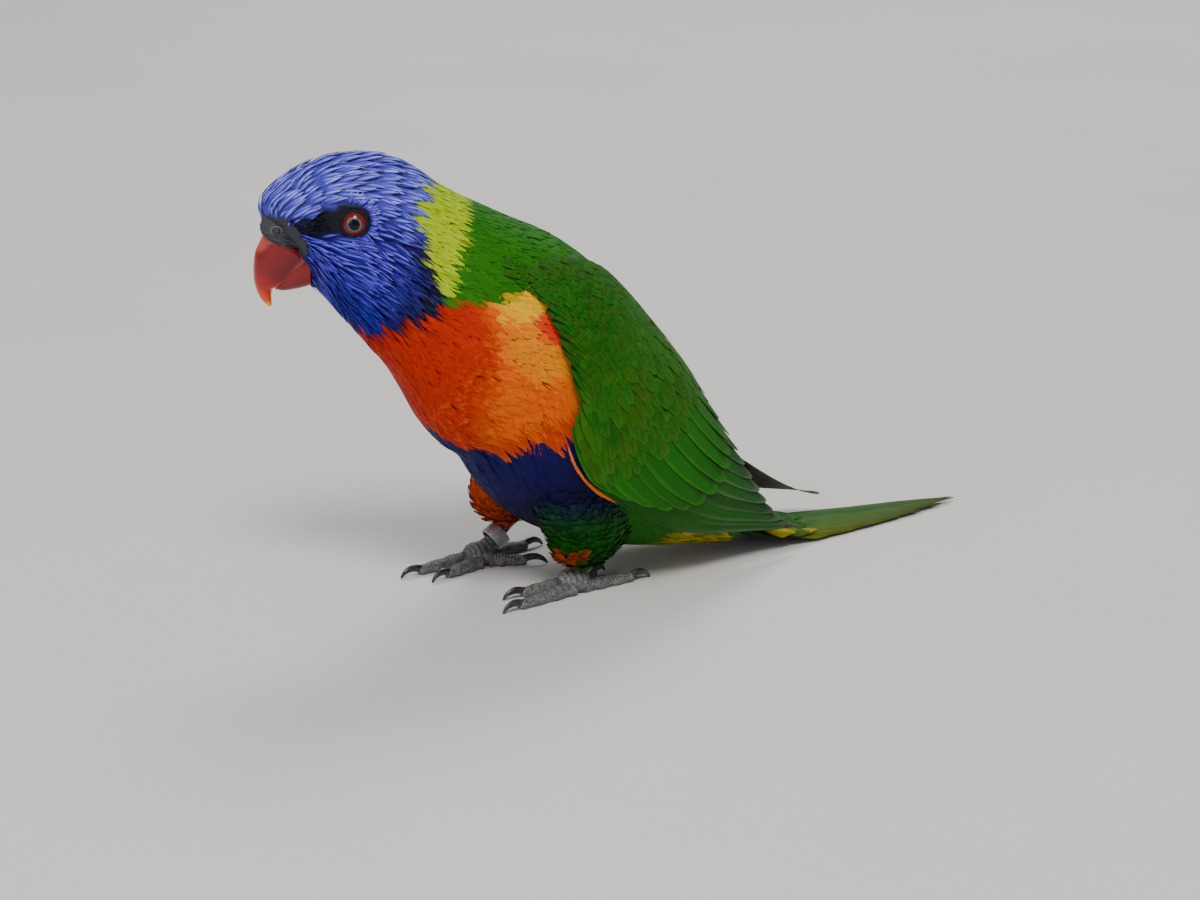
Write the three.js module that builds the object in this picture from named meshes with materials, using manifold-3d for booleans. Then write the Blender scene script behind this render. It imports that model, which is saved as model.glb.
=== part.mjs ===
// A rainbow lorikeet, life size, standing with its head turned to its right.
// Millimetres, +Z up, soles on z = 0. The bird faces -X and its left side is -Y.
// The body is drawn straight along a line q (nose negative, tail positive), then turnNeck bends it.
import * as THREE from 'three';
import { mergeVertices } from 'three/addons/utils/BufferGeometryUtils.js';
import Module from 'manifold-3d';

const wasm = await Module();
wasm.setup();

// Driving dimensions
const GAP = 0.35;
const NECK_START = -12;
const NECK_LENGTH = 40;
const HEAD_TURN = THREE.MathUtils.degToRad(30);
const EYE = { q: -50.9, side: 10.9, z: 117.2, radius: 4.6 };
const FEET = [
  { side: 'left', x: 8, y: -16, hem: 8.6 },
  { side: 'right', x: -4.5, y: 20, hem: 13.4 },
];
const RING = { inner: 3.3, outer: 3.9, width: 4.5, lean: THREE.MathUtils.degToRad(57), back: 5.9, height: 8.1 };
const MERGE_WITHIN = 1e-4;
// Facets: rings along each piece and sides round it
const FACETS = {
  trunk: [16, 24], face: [16, 22], neck: [6, 22], cere: [4, 14], upperBill: [13, 14], lowerBill: [6, 12],
  eye: [14, 8], wing: [20, 8], tail: [15, 18], thigh: [8, 14], shank: [4, 8], palm: [6, 10], toe: [7, 8], claw: [5, 6],
};
const RING_SIDES = 24;

// Materials
function finish(color, roughness = 0.8, metalness = 0) {
  return () => new THREE.MeshStandardMaterial({ color, roughness, metalness });
}
const blueFeather = finish(0x3a44b0);
const collarFeather = finish(0x9fb81e);
const breastFeather = finish(0xd2621c);
const greenFeather = finish(0x2c8a1e);
const thighFeather = finish(0x1f5a48);
const redHorn = finish(0xb03020, 0.35);
const wetEye = finish(0x8a1c12, 0.1);
const greyScale = finish(0x77777a, 0.7);
const darkHorn = finish(0x2a2a2c, 0.4);
const plainMetal = finish(0xb8bcc0, 0.35, 1);

// Bends the straight bird at the neck: an arc that turns the head to the bird's right.
function turnNeck(q, y, z) {
  const along = NECK_START - q;
  const arc = THREE.MathUtils.clamp(along, 0, NECK_LENGTH);
  const beyond = Math.max(along - NECK_LENGTH, 0);
  const heading = (HEAD_TURN * arc) / NECK_LENGTH;
  const radius = NECK_LENGTH / HEAD_TURN;
  const x = along < 0 ? q : NECK_START - radius * Math.sin(heading) - beyond * Math.cos(heading);
  const middle = radius * (1 - Math.cos(heading)) + beyond * Math.sin(heading);
  return new THREE.Vector3(x + y * Math.sin(heading), middle + y * Math.cos(heading), z);
}

// A closed skin over rings of points, with a fan on each end. grow pushes the two ends outwards.
function loft(rings, sides, pointAt, grow = 0) {
  const points = [];
  const faces = [];
  for (let i = 0; i <= rings; i++) {
    for (let k = 0; k < sides; k++) points.push(pointAt(i / rings, k));
  }
  const centreOf = (i) => points.slice(i * sides, (i + 1) * sides)
    .reduce((sum, p) => sum.addScaledVector(p, 1 / sides), new THREE.Vector3());
  for (const [end, next] of [[0, 1], [rings, rings - 1]]) {
    const outward = centreOf(end).sub(centreOf(next)).setLength(grow);
    for (let k = 0; k < sides; k++) points[end * sides + k].add(outward);
  }
  for (let i = 0; i < rings; i++) {
    for (let k = 0; k < sides; k++) {
      const a = i * sides + k;
      const b = i * sides + ((k + 1) % sides);
      faces.push(a, b, b + sides, a, b + sides, a + sides);
    }
  }
  for (const [start, step] of [[0, -1], [rings * sides, 1]]) {
    const middle = new THREE.Vector3();
    for (let k = 0; k < sides; k++) middle.addScaledVector(points[start + k], 1 / sides);
    const hub = points.push(middle) - 1;
    for (let k = 0; k < sides; k++) {
      const a = start + k;
      const b = start + ((k + 1) % sides);
      faces.push(hub, step > 0 ? a : b, step > 0 ? b : a);
    }
  }
  return faceOut(points, faces);
}

// Turns the faces round where the solid would be inside out.
function faceOut(points, faces) {
  let volume = 0;
  for (let i = 0; i < faces.length; i += 3) {
    const [a, b, c] = [points[faces[i]], points[faces[i + 1]], points[faces[i + 2]]];
    volume += a.dot(b.clone().cross(c));
  }
  if (volume < 0) faces.reverse();
  const geometry = new THREE.BufferGeometry().setFromPoints(points);
  geometry.setIndex(faces);
  return geometry;
}

// Hoops stand across the body: each has a point on the back line, one on the belly line and a half width.
// low moves the widest part down, square makes the sides fuller, bow sweeps the sides back to the tail.
function hoopAt(hoops, s, angle, grow = 0) {
  const last = hoops.length - 1;
  const t = THREE.MathUtils.clamp(s / last, 0, 1);
  const curve = (pick) => new THREE.CatmullRomCurve3(hoops.map(pick), false, 'catmullrom').getPoint(t);
  const back = curve((h) => new THREE.Vector3(h.back[0], 0, h.back[1]));
  const belly = curve((h) => new THREE.Vector3(h.belly[0], 0, h.belly[1]));
  const shape = curve((h) => new THREE.Vector3(h.half, h.low ?? 0, h.square ?? 2));
  const bow = curve((h) => new THREE.Vector3(h.bow ?? 0, 0, 0)).x;
  const middle = back.clone().add(belly).multiplyScalar(0.5);
  const reach = back.clone().sub(belly).multiplyScalar(0.5);
  reach.setLength(reach.length() + grow);
  const tailward = new THREE.Vector3(reach.z, 0, -reach.x).setLength(bow * Math.sin(angle) ** 2);
  const bulge = (v) => Math.sign(v) * Math.abs(v) ** (2 / shape.z);
  const up = bulge(Math.cos(angle));
  const out = bulge(Math.sin(angle)) * (shape.x * (1 - shape.y * up) + grow);
  return middle.addScaledVector(reach, up).add(tailward).setY(out);
}

function hoopLoft(hoops, [rings, sides], { from = 0, to = hoops.length - 1, grow = 0 } = {}) {
  return loft(rings, sides, (t, k) => {
    const p = hoopAt(hoops, from + (to - from) * t, (2 * Math.PI * (k + 0.5)) / sides, grow);
    return turnNeck(p.x, p.y, p.z);
  }, grow);
}

// A round or oval limb along a curve. Stations give the centre, the upright radius and the level radius.
function limb(stations, [rings, sides], { grow = 0, floor = -Infinity } = {}) {
  const path = new THREE.CatmullRomCurve3(stations.map((s) => new THREE.Vector3(...s.at)), false, 'catmullrom');
  const sizes = new THREE.CatmullRomCurve3(
    stations.map((s) => new THREE.Vector3(s.tall, s.wide ?? s.tall, 0)), false, 'catmullrom');
  return loft(rings, sides, (t, k) => {
    const centre = path.getPoint(t);
    const along = path.getTangent(t);
    const level = new THREE.Vector3(along.y, -along.x, 0);
    if (level.length() < 0.3) level.set(0, 1, 0);
    level.setLength(Math.sign(level.y) || 1);
    const upright = level.clone().cross(along).normalize();
    const size = sizes.getPoint(t);
    const angle = (2 * Math.PI * (k + 0.5)) / sides;
    centre.addScaledVector(upright, (size.x + grow) * Math.cos(angle));
    centre.addScaledVector(level, (size.y + grow) * Math.sin(angle));
    return centre.setZ(Math.max(centre.z, floor));
  }, grow);
}

// Cutting and joining
function solidOf(geometry) {
  const bare = new THREE.BufferGeometry();
  bare.setAttribute('position', geometry.getAttribute('position'));
  bare.setIndex(geometry.getIndex());
  const merged = mergeVertices(bare, MERGE_WITHIN);
  return new wasm.Manifold(new wasm.Mesh({
    numProp: 3,
    vertProperties: new Float32Array(merged.getAttribute('position').array),
    triVerts: new Uint32Array(merged.getIndex().array),
  }));
}
function geometryOf(solid) {
  const mesh = solid.getMesh();
  const geometry = new THREE.BufferGeometry();
  geometry.setAttribute('position', new THREE.BufferAttribute(mesh.vertProperties, 3));
  geometry.setIndex(new THREE.BufferAttribute(mesh.triVerts, 1));
  return geometry;
}
function cut(geometry, ...tools) {
  return geometryOf(tools.reduce((left, tool) => left.subtract(solidOf(tool)), solidOf(geometry)));
}
function join(...geometries) {
  return geometryOf(geometries.map(solidOf).reduce((all, next) => all.add(next)));
}

const bird = new THREE.Group();
function add(name, geometry, material) {
  const mesh = new THREE.Mesh(geometry, material());
  mesh.name = name;
  bird.add(mesh);
}

// Head, neck and trunk are one run of hoops, parted by two thin cuts
const BODY = [
  { back: [-78.8, 115.0], belly: [-65.0, 95.5], half: 6.2, bow: 5.4 },
  { back: [-79.4, 119.8], belly: [-63.5, 94.5], half: 8.8, low: 0.06, bow: 6.6 },
  { back: [-76.8, 124.9], belly: [-60.4, 91.9], half: 11.8, low: 0.08, bow: 5.6 },
  { back: [-66.9, 132.0], belly: [-56.2, 87.1], half: 13.9, low: 0.08, bow: 2.9 },
  { back: [-56.7, 135.3], belly: [-53.3, 83.8], half: 15.2, low: 0.06, bow: 1.1 },
  { back: [-43.8, 135.2], belly: [-50.2, 80.1], half: 16.2, low: 0.05 },
  { back: [-34.6, 131.3], belly: [-47.3, 76.5], half: 17.4, low: 0.05 },
  { back: [-26.4, 125.1], belly: [-43.6, 72.1], half: 19.6, low: 0.04 },
  { back: [-17.1, 119.8], belly: [-39.3, 64.4], half: 23.4, low: 0.02 },
  { back: [-4.0, 113.1], belly: [-34.6, 55.2], half: 27.4 },
  { back: [9.4, 106.3], belly: [-28.0, 46.9], half: 30.2 },
  { back: [22.9, 95.4], belly: [-21.1, 41.4], half: 31.4 },
  { back: [33.0, 81.0], belly: [-14.0, 31.1], half: 31.0 },
  { back: [44.0, 65.0], belly: [-2.0, 19.5], half: 29.0, low: 0.04, square: 2.1 },
  { back: [55.0, 48.0], belly: [18.0, 10.5], half: 25.0, low: 0.06, square: 2.2 },
  { back: [64.0, 32.0], belly: [38.0, 6.0], half: 20.0, low: 0.06, square: 2.2 },
  { back: [71.0, 19.0], belly: [57.0, 3.0], half: 15.5 },
];
const HEAD_END = 5.3;
const NECK_END = 7.6;
const PARTING = 0.07;
const TRUNK_END = BODY.length - 1;
const trunk = (grow = 0) => hoopLoft(BODY, FACETS.trunk, { from: NECK_END + PARTING, to: TRUNK_END, grow });

// The bill: a deep hooked upper half and a scoop below it
const UPPER_BILL = [
  { back: [-76.8, 110.7], belly: [-66.2, 106.9], half: 6.2 },
  { back: [-77.8, 111.3], belly: [-65.7, 104.1], half: 6.3 },
  { back: [-79.5, 108.3], belly: [-67.5, 102.1], half: 5.9 },
  { back: [-80.6, 105.6], belly: [-69.5, 99.7], half: 5.6 },
  { back: [-81.0, 102.7], belly: [-71.3, 97.6], half: 5.1 },
  { back: [-81.1, 99.7], belly: [-73.4, 95.8], half: 4.4 },
  { back: [-80.9, 97.0], belly: [-75.3, 94.9], half: 3.6 },
  { back: [-80.1, 94.0], belly: [-75.9, 93.1], half: 2.7 },
  { back: [-78.9, 91.6], belly: [-75.9, 91.3], half: 1.8 },
  { back: [-77.2, 89.6], belly: [-75.9, 89.7], half: 0.8 },
];
const LOWER_BILL = [
  { back: [-63.9, 104.6], belly: [-64.2, 96.3], half: 5.0 },
  { back: [-67.2, 102.4], belly: [-67.3, 95.4], half: 5.0 },
  { back: [-70.0, 100.0], belly: [-70.2, 94.8], half: 4.5 },
  { back: [-72.6, 97.4], belly: [-72.8, 94.5], half: 3.4 },
  { back: [-74.7, 95.3], belly: [-74.7, 94.7], half: 1.6 },
];
const CERE = [
  { back: [-77.4, 117.0], belly: [-69.4, 112.4], half: 6.0 },
  { back: [-78.6, 114.0], belly: [-69.1, 109.8], half: 6.5 },
  { back: [-78.4, 112.2], belly: [-68.2, 108.3], half: 6.4 },
  { back: [-77.6, 111.2], belly: [-67.6, 107.1], half: 6.0 },
];
const upperBill = (grow = 0) => hoopLoft(UPPER_BILL, FACETS.upperBill, { grow });
const lowerBill = (grow = 0) => hoopLoft(LOWER_BILL, FACETS.lowerBill, { grow });
function eyeball(side, grow = 0) {
  const centre = turnNeck(EYE.q, side * EYE.side, EYE.z);
  const ball = new THREE.SphereGeometry(EYE.radius + grow, ...FACETS.eye);
  ball.deleteAttribute('normal');
  ball.deleteAttribute('uv');
  ball.rotateX(Math.PI / 2);
  ball.translate(centre.x, centre.y, centre.z);
  return ball;
}

const face = join(hoopLoft(BODY, FACETS.face, { to: HEAD_END }), hoopLoft(CERE, FACETS.cere));
add('head', cut(face, upperBill(GAP), lowerBill(GAP), eyeball(-1, GAP), eyeball(1, GAP)), blueFeather);
add('bill_upper', upperBill(), redHorn);
add('bill_lower', cut(lowerBill(), upperBill(GAP)), redHorn);
add('eye_left', eyeball(-1), wetEye);
add('eye_right', eyeball(1), wetEye);
add('neck', hoopLoft(BODY, FACETS.neck, { from: HEAD_END + PARTING, to: NECK_END }), collarFeather);
add('trunk', trunk(), breastFeather);

// Wings: a sector of a wider run of hoops, as thick as the feathers that lie on the body
const WING_HOOPS = [
  { back: [-3.6, 114.4], belly: [-35.6, 53.6], half: 30.2 },
  { back: [9.9, 107.4], belly: [-29.4, 45.2], half: 33.4 },
  { back: [23.6, 97.0], belly: [-22.8, 39.2], half: 35.0 },
  { back: [36.0, 83.6], belly: [-15.8, 28.8], half: 35.0, low: 0.02 },
  { back: [48.5, 68.0], belly: [-4.2, 17.0], half: 33.4, low: 0.05, square: 2.1 },
  { back: [59.5, 52.0], belly: [16.0, 7.6], half: 29.8, low: 0.07, square: 2.2 },
  { back: [71.0, 37.0], belly: [36.0, 2.8], half: 25.2, low: 0.06, square: 2.2 },
  { back: [84.0, 24.5], belly: [58.0, 1.2], half: 20.5, square: 2.1 },
  { back: [96.0, 14.0], belly: [76.0, 1.2], half: 17.5 },
  { back: [106.0, 7.6], belly: [94.0, 1.6], half: 15.0 },
  { back: [115.0, 4.4], belly: [109.0, 2.6], half: 13.0 },
];
// Stations along the wing: hoop, upper angle and lower angle in degrees from the back, thickness
const LEFT_WING = [
  [0.0, 46, 60, 2.2], [0.5, 34, 66, 3.2], [1.0, 25, 72, 4.2], [1.5, 18, 79, 5.0], [2.0, 13, 90, 6.0],
  [2.4, 11, 110, 6.5], [2.8, 10, 126, 6.5], [3.4, 9, 131, 6.5], [4.2, 10, 128, 6.0], [5.0, 13, 122, 5.0],
  [6.0, 22, 115, 3.6], [7.0, 45, 111, 2.2], [7.7, 66, 107, 1.4], [8.2, 84, 99, 0.9],
];
const RIGHT_WING = [
  ...LEFT_WING.slice(0, 9), [5.0, 11, 121, 5.0], [6.0, 9, 112, 3.6], [7.0, 8, 96, 2.2],
  [8.0, 8, 70, 1.5], [9.0, 8, 44, 1.1], [9.9, 10, 24, 0.9],
];
const WING_RIM = 0.3;
function wing(side, stations) {
  const [rings, across] = FACETS.wing;
  const pick = (column, t) => {
    const run = stations.map((row) => new THREE.Vector3(row[column], 0, 0));
    return new THREE.CatmullRomCurve3(run, false, 'catmullrom').getPoint(t).x;
  };
  return loft(rings, 2 * across, (t, k) => {
    const inner = k >= across;
    const u = (inner ? 2 * across - 1 - k : k) / (across - 1);
    const edge = WING_RIM + (1 - WING_RIM) * (1 - Math.abs(2 * u - 1) ** 3);
    const angle = THREE.MathUtils.degToRad(pick(1, t) + (pick(2, t) - pick(1, t)) * u);
    const p = hoopAt(WING_HOOPS, pick(0, t), angle, inner ? -pick(3, t) * edge : 0);
    return turnNeck(p.x, side * p.y, p.z);
  });
}
add('wing_left', cut(wing(-1, LEFT_WING), trunk(GAP)), greenFeather);
add('wing_right', cut(wing(1, RIGHT_WING), trunk(GAP)), greenFeather);

// Tail: an arched blade of graded feathers, laid along the floor behind the bird
const TAIL = [
  { x: 50, z: 20.0, wide: 12, thick: 8, arch: 0 },
  { x: 60, z: 14.0, wide: 14, thick: 7.5, arch: 1 },
  { x: 71, z: 8.0, wide: 15.5, thick: 5.6, arch: 2 },
  { x: 82, z: 4.2, wide: 15.5, thick: 3.4, arch: 2.2 },
  { x: 96, z: 1.9, wide: 14.5, thick: 2.0, arch: 1.8 },
  { x: 120, z: 1.1, wide: 11.5, thick: 1.4, arch: 1.2 },
  { x: 141, z: 0.9, wide: 7.5, thick: 1.1, arch: 0.8 },
  { x: 156, z: 0.7, wide: 2.2, thick: 0.9, arch: 0.3 },
];
function tail() {
  const centre = new THREE.CatmullRomCurve3(TAIL.map((s) => new THREE.Vector3(s.x, 0, s.z)), false, 'catmullrom');
  const size = new THREE.CatmullRomCurve3(
    TAIL.map((s) => new THREE.Vector3(s.wide, s.thick, s.arch)), false, 'catmullrom');
  const [rings, sides] = FACETS.tail;
  return loft(rings, sides, (t, k) => {
    const angle = (2 * Math.PI * (k + 0.5)) / sides;
    const s = size.getPoint(t);
    const middle = centre.getPoint(t);
    const across = Math.sin(angle);
    const z = middle.z + s.y * Math.cos(angle) + s.z * (0.5 - across * across);
    return new THREE.Vector3(middle.x, s.x * across, Math.max(z, 0));
  });
}
add('tail', cut(tail(), trunk(GAP)), greenFeather);

// Legs: thigh, foot, four toes with claws, two forward and two back
function thigh({ x, y, hem }, grow = 0) {
  const [rings, sides] = FACETS.thigh;
  const stations = [
    { x: 10, z: 42, long: 12, wide: 8 },
    { x: 11, z: 29, long: 14.5, wide: 8.6 },
    { x: x / 2 + 9, z: hem + 9, long: 12.4, wide: 8 },
    { x: x / 2 + 7.5, z: hem + 3.2, long: 9, wide: 6.2 },
    { x: x / 2 + 7, z: hem, long: 4.4, wide: 3.8 },
  ];
  const curve = (pick) => new THREE.CatmullRomCurve3(stations.map(pick), false, 'catmullrom');
  const middles = curve((s) => new THREE.Vector3(s.x, y, s.z));
  const sizes = curve((s) => new THREE.Vector3(s.long, s.wide, 0));
  return loft(rings, sides, (t, k) => {
    const angle = (2 * Math.PI * (k + 0.5)) / sides;
    const size = sizes.getPoint(t);
    const across = new THREE.Vector3(Math.cos(angle) * (size.x + grow), Math.sin(angle) * (size.y + grow), 0);
    return middles.getPoint(t).add(across);
  }, grow);
}
function shank({ x, y }) {
  return limb([
    { at: [x + 0.5, y, 4.5], tall: 2.4 },
    { at: [x + 6, y, 8.4], tall: 1.8 },
    { at: [x + 12, y, 13.6], tall: 2.2 },
  ], FACETS.shank);
}
function palm({ x, y }, grow = 0) {
  return limb([
    { at: [x - 5, y, 3.0], tall: 1.6, wide: 2.0 },
    { at: [x - 3, y, 3.0], tall: 3.4, wide: 4.0 },
    { at: [x, y, 3.2], tall: 3.8, wide: 4.6 },
    { at: [x + 3, y, 3.0], tall: 3.4, wide: 4.0 },
    { at: [x + 5, y, 3.0], tall: 1.6, wide: 2.0 },
  ], FACETS.palm, { grow, floor: grow ? -Infinity : 0 });
}
// Angle from straight ahead towards the bird's left, reach from the middle of the palm, sideways start
const TOES = {
  left: [
    { name: 'inner_front', angle: 1, length: 16.5, offset: 2.7 },
    { name: 'outer_front', angle: 12, length: 23, offset: -2.4 },
    { name: 'outer_hind', angle: 184, length: 20, offset: -2.2 },
    { name: 'inner_hind', angle: 208, length: 13.5, offset: 2.4 },
  ],
  right: [
    { name: 'inner_front', angle: 17, length: 15.5, offset: -2.6 },
    { name: 'outer_front', angle: 7, length: 21, offset: 2.6 },
    { name: 'outer_hind', angle: 190, length: 20, offset: 2.2 },
    { name: 'inner_hind', angle: 158, length: 13.5, offset: -2.4 },
  ],
};
const TOE = { root: 2, pads: 3, pad: 1.05, waist: 0.93, radius: [2.3, 1.6], height: [1.9, 1.3], clawInside: 1.2 };
function toePoint(foot, toe, reach, z) {
  const heading = THREE.MathUtils.degToRad(toe.angle);
  return [foot.x - reach * Math.cos(heading), foot.y + toe.offset - reach * Math.sin(heading), z];
}
function toeBody(foot, toe, grow = 0) {
  const stations = [];
  for (let i = 0; i <= 2 * TOE.pads; i++) {
    const t = i / (2 * TOE.pads);
    const radius = THREE.MathUtils.lerp(...TOE.radius, t) * (i % 2 ? TOE.waist : TOE.pad);
    const reach = THREE.MathUtils.lerp(TOE.root, toe.length, t);
    stations.push({ at: toePoint(foot, toe, reach, THREE.MathUtils.lerp(...TOE.height, t)), tall: radius });
  }
  return limb(stations, FACETS.toe, { grow, floor: grow ? -Infinity : 0 });
}
function claw(foot, toe) {
  const start = toe.length - TOE.clawInside;
  return limb([
    { at: toePoint(foot, toe, start, 1.9), tall: 1.15, wide: 0.95 },
    { at: toePoint(foot, toe, start + 3.2, 2.5), tall: 1.1, wide: 0.85 },
    { at: toePoint(foot, toe, start + 5.8, 1.8), tall: 0.75, wide: 0.6 },
    { at: toePoint(foot, toe, start + 7.4, 0.35), tall: 0.35, wide: 0.3 },
  ], FACETS.claw, { floor: 0 });
}
for (const foot of FEET) {
  const side = foot.side;
  add(`thigh_${side}`, cut(thigh(foot), trunk(GAP), wing(-1, LEFT_WING), wing(1, RIGHT_WING)), thighFeather);
  const toes = TOES[side];
  add(`foot_${side}`, cut(join(palm(foot), shank(foot)), thigh(foot, GAP)), greyScale);
  toes.forEach((toe, i) => {
    const earlier = toes.slice(0, i).map((other) => toeBody(foot, other, GAP));
    add(`toe_${side}_${toe.name}`, cut(toeBody(foot, toe), palm(foot, GAP), ...earlier), greyScale);
    add(`claw_${side}_${toe.name}`, cut(claw(foot, toe), toeBody(foot, toe, GAP)), darkHorn);
  });
}

// A plain metal ring round the right shank
function legRing({ x, y }) {
  const half = RING.width / 2;
  const profile = [
    [RING.inner, -half], [RING.outer, -half], [RING.outer, half], [RING.inner, half], [RING.inner, -half],
  ].map(([r, h]) => new THREE.Vector2(r, h));
  const ring = new THREE.LatheGeometry(profile, RING_SIDES);
  ring.deleteAttribute('normal');
  ring.deleteAttribute('uv');
  ring.rotateX(Math.PI / 2);
  ring.rotateY(RING.lean);
  ring.translate(x + RING.back, y, RING.height);
  return ring;
}
add('leg_ring', legRing(FEET[1]), plainMetal);

// The whole stands centred on its own box, soles on z = 0
const box = new THREE.Box3().setFromObject(bird);
const middle = box.getCenter(new THREE.Vector3());
bird.position.set(-middle.x, -middle.y, -box.min.z);
const model = new THREE.Group();
model.add(bird);

export default model;
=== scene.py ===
import bpy
import numpy as np
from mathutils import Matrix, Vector


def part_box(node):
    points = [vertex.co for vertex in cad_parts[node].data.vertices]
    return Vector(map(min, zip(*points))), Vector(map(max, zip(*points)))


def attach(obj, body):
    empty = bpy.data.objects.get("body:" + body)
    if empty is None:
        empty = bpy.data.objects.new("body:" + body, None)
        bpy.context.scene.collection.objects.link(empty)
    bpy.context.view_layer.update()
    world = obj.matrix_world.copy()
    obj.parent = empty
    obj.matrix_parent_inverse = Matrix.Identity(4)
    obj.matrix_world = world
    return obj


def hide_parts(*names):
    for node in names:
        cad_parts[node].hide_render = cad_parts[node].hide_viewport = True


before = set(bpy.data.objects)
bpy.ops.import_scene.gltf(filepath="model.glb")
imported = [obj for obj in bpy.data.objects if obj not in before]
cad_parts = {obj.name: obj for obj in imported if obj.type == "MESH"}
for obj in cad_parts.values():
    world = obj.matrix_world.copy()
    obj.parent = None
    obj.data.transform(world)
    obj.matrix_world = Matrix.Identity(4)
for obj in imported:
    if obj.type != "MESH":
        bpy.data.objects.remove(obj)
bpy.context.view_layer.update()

# A rainbow lorikeet, life size. One skin stands for head, neck, trunk and thighs, and the feathers are closed
# vanes over it. Tables are millimetres in the bird's own frame: bill to -x, its right to +y, floor at z = 0.
draw = np.random.default_rng(11)
rad = np.radians


# Shapes

def through(table, t):
    # Catmull-Rom: a cubic between rows that passes through each of them, run on straight past both ends
    last = len(table) - 1
    rows = np.vstack([2 * table[0] - table[1], table, 2 * table[-1] - table[-2]])
    held = np.clip(t, 0, last - 1e-9)
    i = held.astype(int)
    f = (held - i)[..., None]
    a, b, c, d = rows[i], rows[i + 1], rows[i + 2], rows[i + 3]
    inside = b + 0.5 * f * (c - a + f * (2 * a - 5 * b + 4 * c - d + f * (3 * b - 3 * c + d - a)))
    past = (t - held)[..., None]
    return inside + past * np.where(past < 0, table[1] - table[0], table[-1] - table[-2])


neck = {"start": -12, "length": 40, "turn": rad(30)}


def turnNeck(x, y, z):
    # the straight bird bent along an arc at the neck, and straight again in front of it
    along = neck["start"] - x
    arc = np.clip(along, 0, neck["length"])
    beyond = np.maximum(along - neck["length"], 0)
    heading = neck["turn"] * arc / neck["length"]
    radius = neck["length"] / neck["turn"]
    bent = neck["start"] - radius * np.sin(heading) - beyond * np.cos(heading)
    middle = radius * (1 - np.cos(heading)) + beyond * np.sin(heading)
    px = np.where(along < 0, x, bent) + y * np.sin(heading)
    return np.stack(np.broadcast_arrays(px, middle + y * np.cos(heading), z), -1)


def straightHoop(hoops, s, angle):
    # an oval across the body from a back point to a belly point: power cosines, widest low, sides swept back
    h = through(hoops, np.asarray(s, float))
    reachX, reachZ = (h[..., 0] - h[..., 2]) / 2, (h[..., 1] - h[..., 3]) / 2
    power = 2 / h[..., 6]
    up = np.sign(np.cos(angle)) * np.abs(np.cos(angle)) ** power
    out = np.sign(np.sin(angle)) * np.abs(np.sin(angle)) ** power * h[..., 4] * (1 - h[..., 5] * up)
    sweep = h[..., 7] * np.sin(angle) ** 2 / np.hypot(reachX, reachZ)
    x = (h[..., 0] + h[..., 2]) / 2 + reachX * up + reachZ * sweep
    z = (h[..., 1] + h[..., 3]) / 2 + reachZ * up - reachX * sweep
    return x, out, z


def hoopSurface(hoops):
    # the whole surface through a table of ovals, bent at the neck
    return lambda s, angle: turnNeck(*straightHoop(hoops, s, angle))


def lieOf(at, s, a):
    # outward normal, and millimetres per unit of s and of a, by central differences
    step = 0.02
    along = (at(s + step, a) - at(s - step, a)) / (2 * step)
    around = (at(s, a + step) - at(s, a - step)) / (2 * step)
    normal = np.cross(along, around)
    length = lambda v: np.maximum(np.linalg.norm(v, axis=-1), 1e-6)
    return normal / length(normal)[..., None], length(along), length(around)


# back x, back z, belly x, belly z, half width, low, square, bow
bodyHoops = np.array([
    (-78.8, 115.0, -65.0, 95.5, 6.2, 0, 2, 5.4),
    (-79.4, 119.8, -63.5, 94.5, 8.8, 0.06, 2, 6.6),
    (-76.8, 124.9, -60.4, 91.9, 11.8, 0.08, 2, 5.6),
    (-66.9, 132.0, -56.2, 87.1, 13.9, 0.08, 2, 2.9),
    (-56.7, 135.3, -53.3, 83.8, 15.2, 0.06, 2, 1.1),
    (-43.8, 135.2, -50.2, 80.1, 16.2, 0.05, 2, 0),
    (-34.6, 131.3, -47.3, 76.5, 17.4, 0.05, 2, 0),
    (-26.4, 125.1, -43.6, 72.1, 19.6, 0.04, 2, 0),
    (-17.1, 119.8, -39.3, 64.4, 23.4, 0.02, 2, 0),
    (-4.0, 113.1, -34.6, 55.2, 27.4, 0, 2, 0),
    (9.4, 106.3, -28.0, 46.9, 30.2, 0, 2, 0),
    (22.9, 95.4, -21.1, 41.4, 31.4, 0, 2, 0),
    (33.0, 81.0, -14.0, 31.1, 31.0, 0, 2, 0),
    (44.0, 65.0, -2.0, 19.5, 29.0, 0.04, 2.1, 0),
    (55.0, 48.0, 18.0, 10.5, 25.0, 0.06, 2.2, 0),
    (64.0, 32.0, 38.0, 6.0, 20.0, 0.06, 2.2, 0),
    (71.0, 19.0, 57.0, 3.0, 15.5, 0, 2, 0),
])
wingHoops = np.array([
    (-3.6, 114.4, -35.6, 53.6, 30.2, 0, 2, 0),
    (9.9, 107.4, -29.4, 45.2, 33.4, 0, 2, 0),
    (23.6, 97.0, -22.8, 39.2, 35.0, 0, 2, 0),
    (36.0, 83.6, -15.8, 28.8, 35.0, 0.02, 2, 0),
    (48.5, 68.0, -4.2, 17.0, 33.4, 0.05, 2.1, 0),
    (59.5, 52.0, 16.0, 7.6, 29.8, 0.07, 2.2, 0),
    (71.0, 37.0, 36.0, 2.8, 25.2, 0.06, 2.2, 0),
    (84.0, 24.5, 58.0, 1.2, 20.5, 0, 2.1, 0),
    (96.0, 14.0, 76.0, 1.2, 17.5, 0, 2, 0),
    (106.0, 7.6, 94.0, 1.6, 15.0, 0, 2, 0),
    (115.0, 4.4, 109.0, 2.6, 13.0, 0, 2, 0),
])
bodyAt = hoopSurface(bodyHoops)
wingAt = hoopSurface(wingHoops)
eye = {"x": -50.9, "side": 10.9, "z": 117.2, "radius": 4.6, "pupil": 1.6, "grey": 2.2, "iris": 3.35,
       "lid": 3.75}
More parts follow.
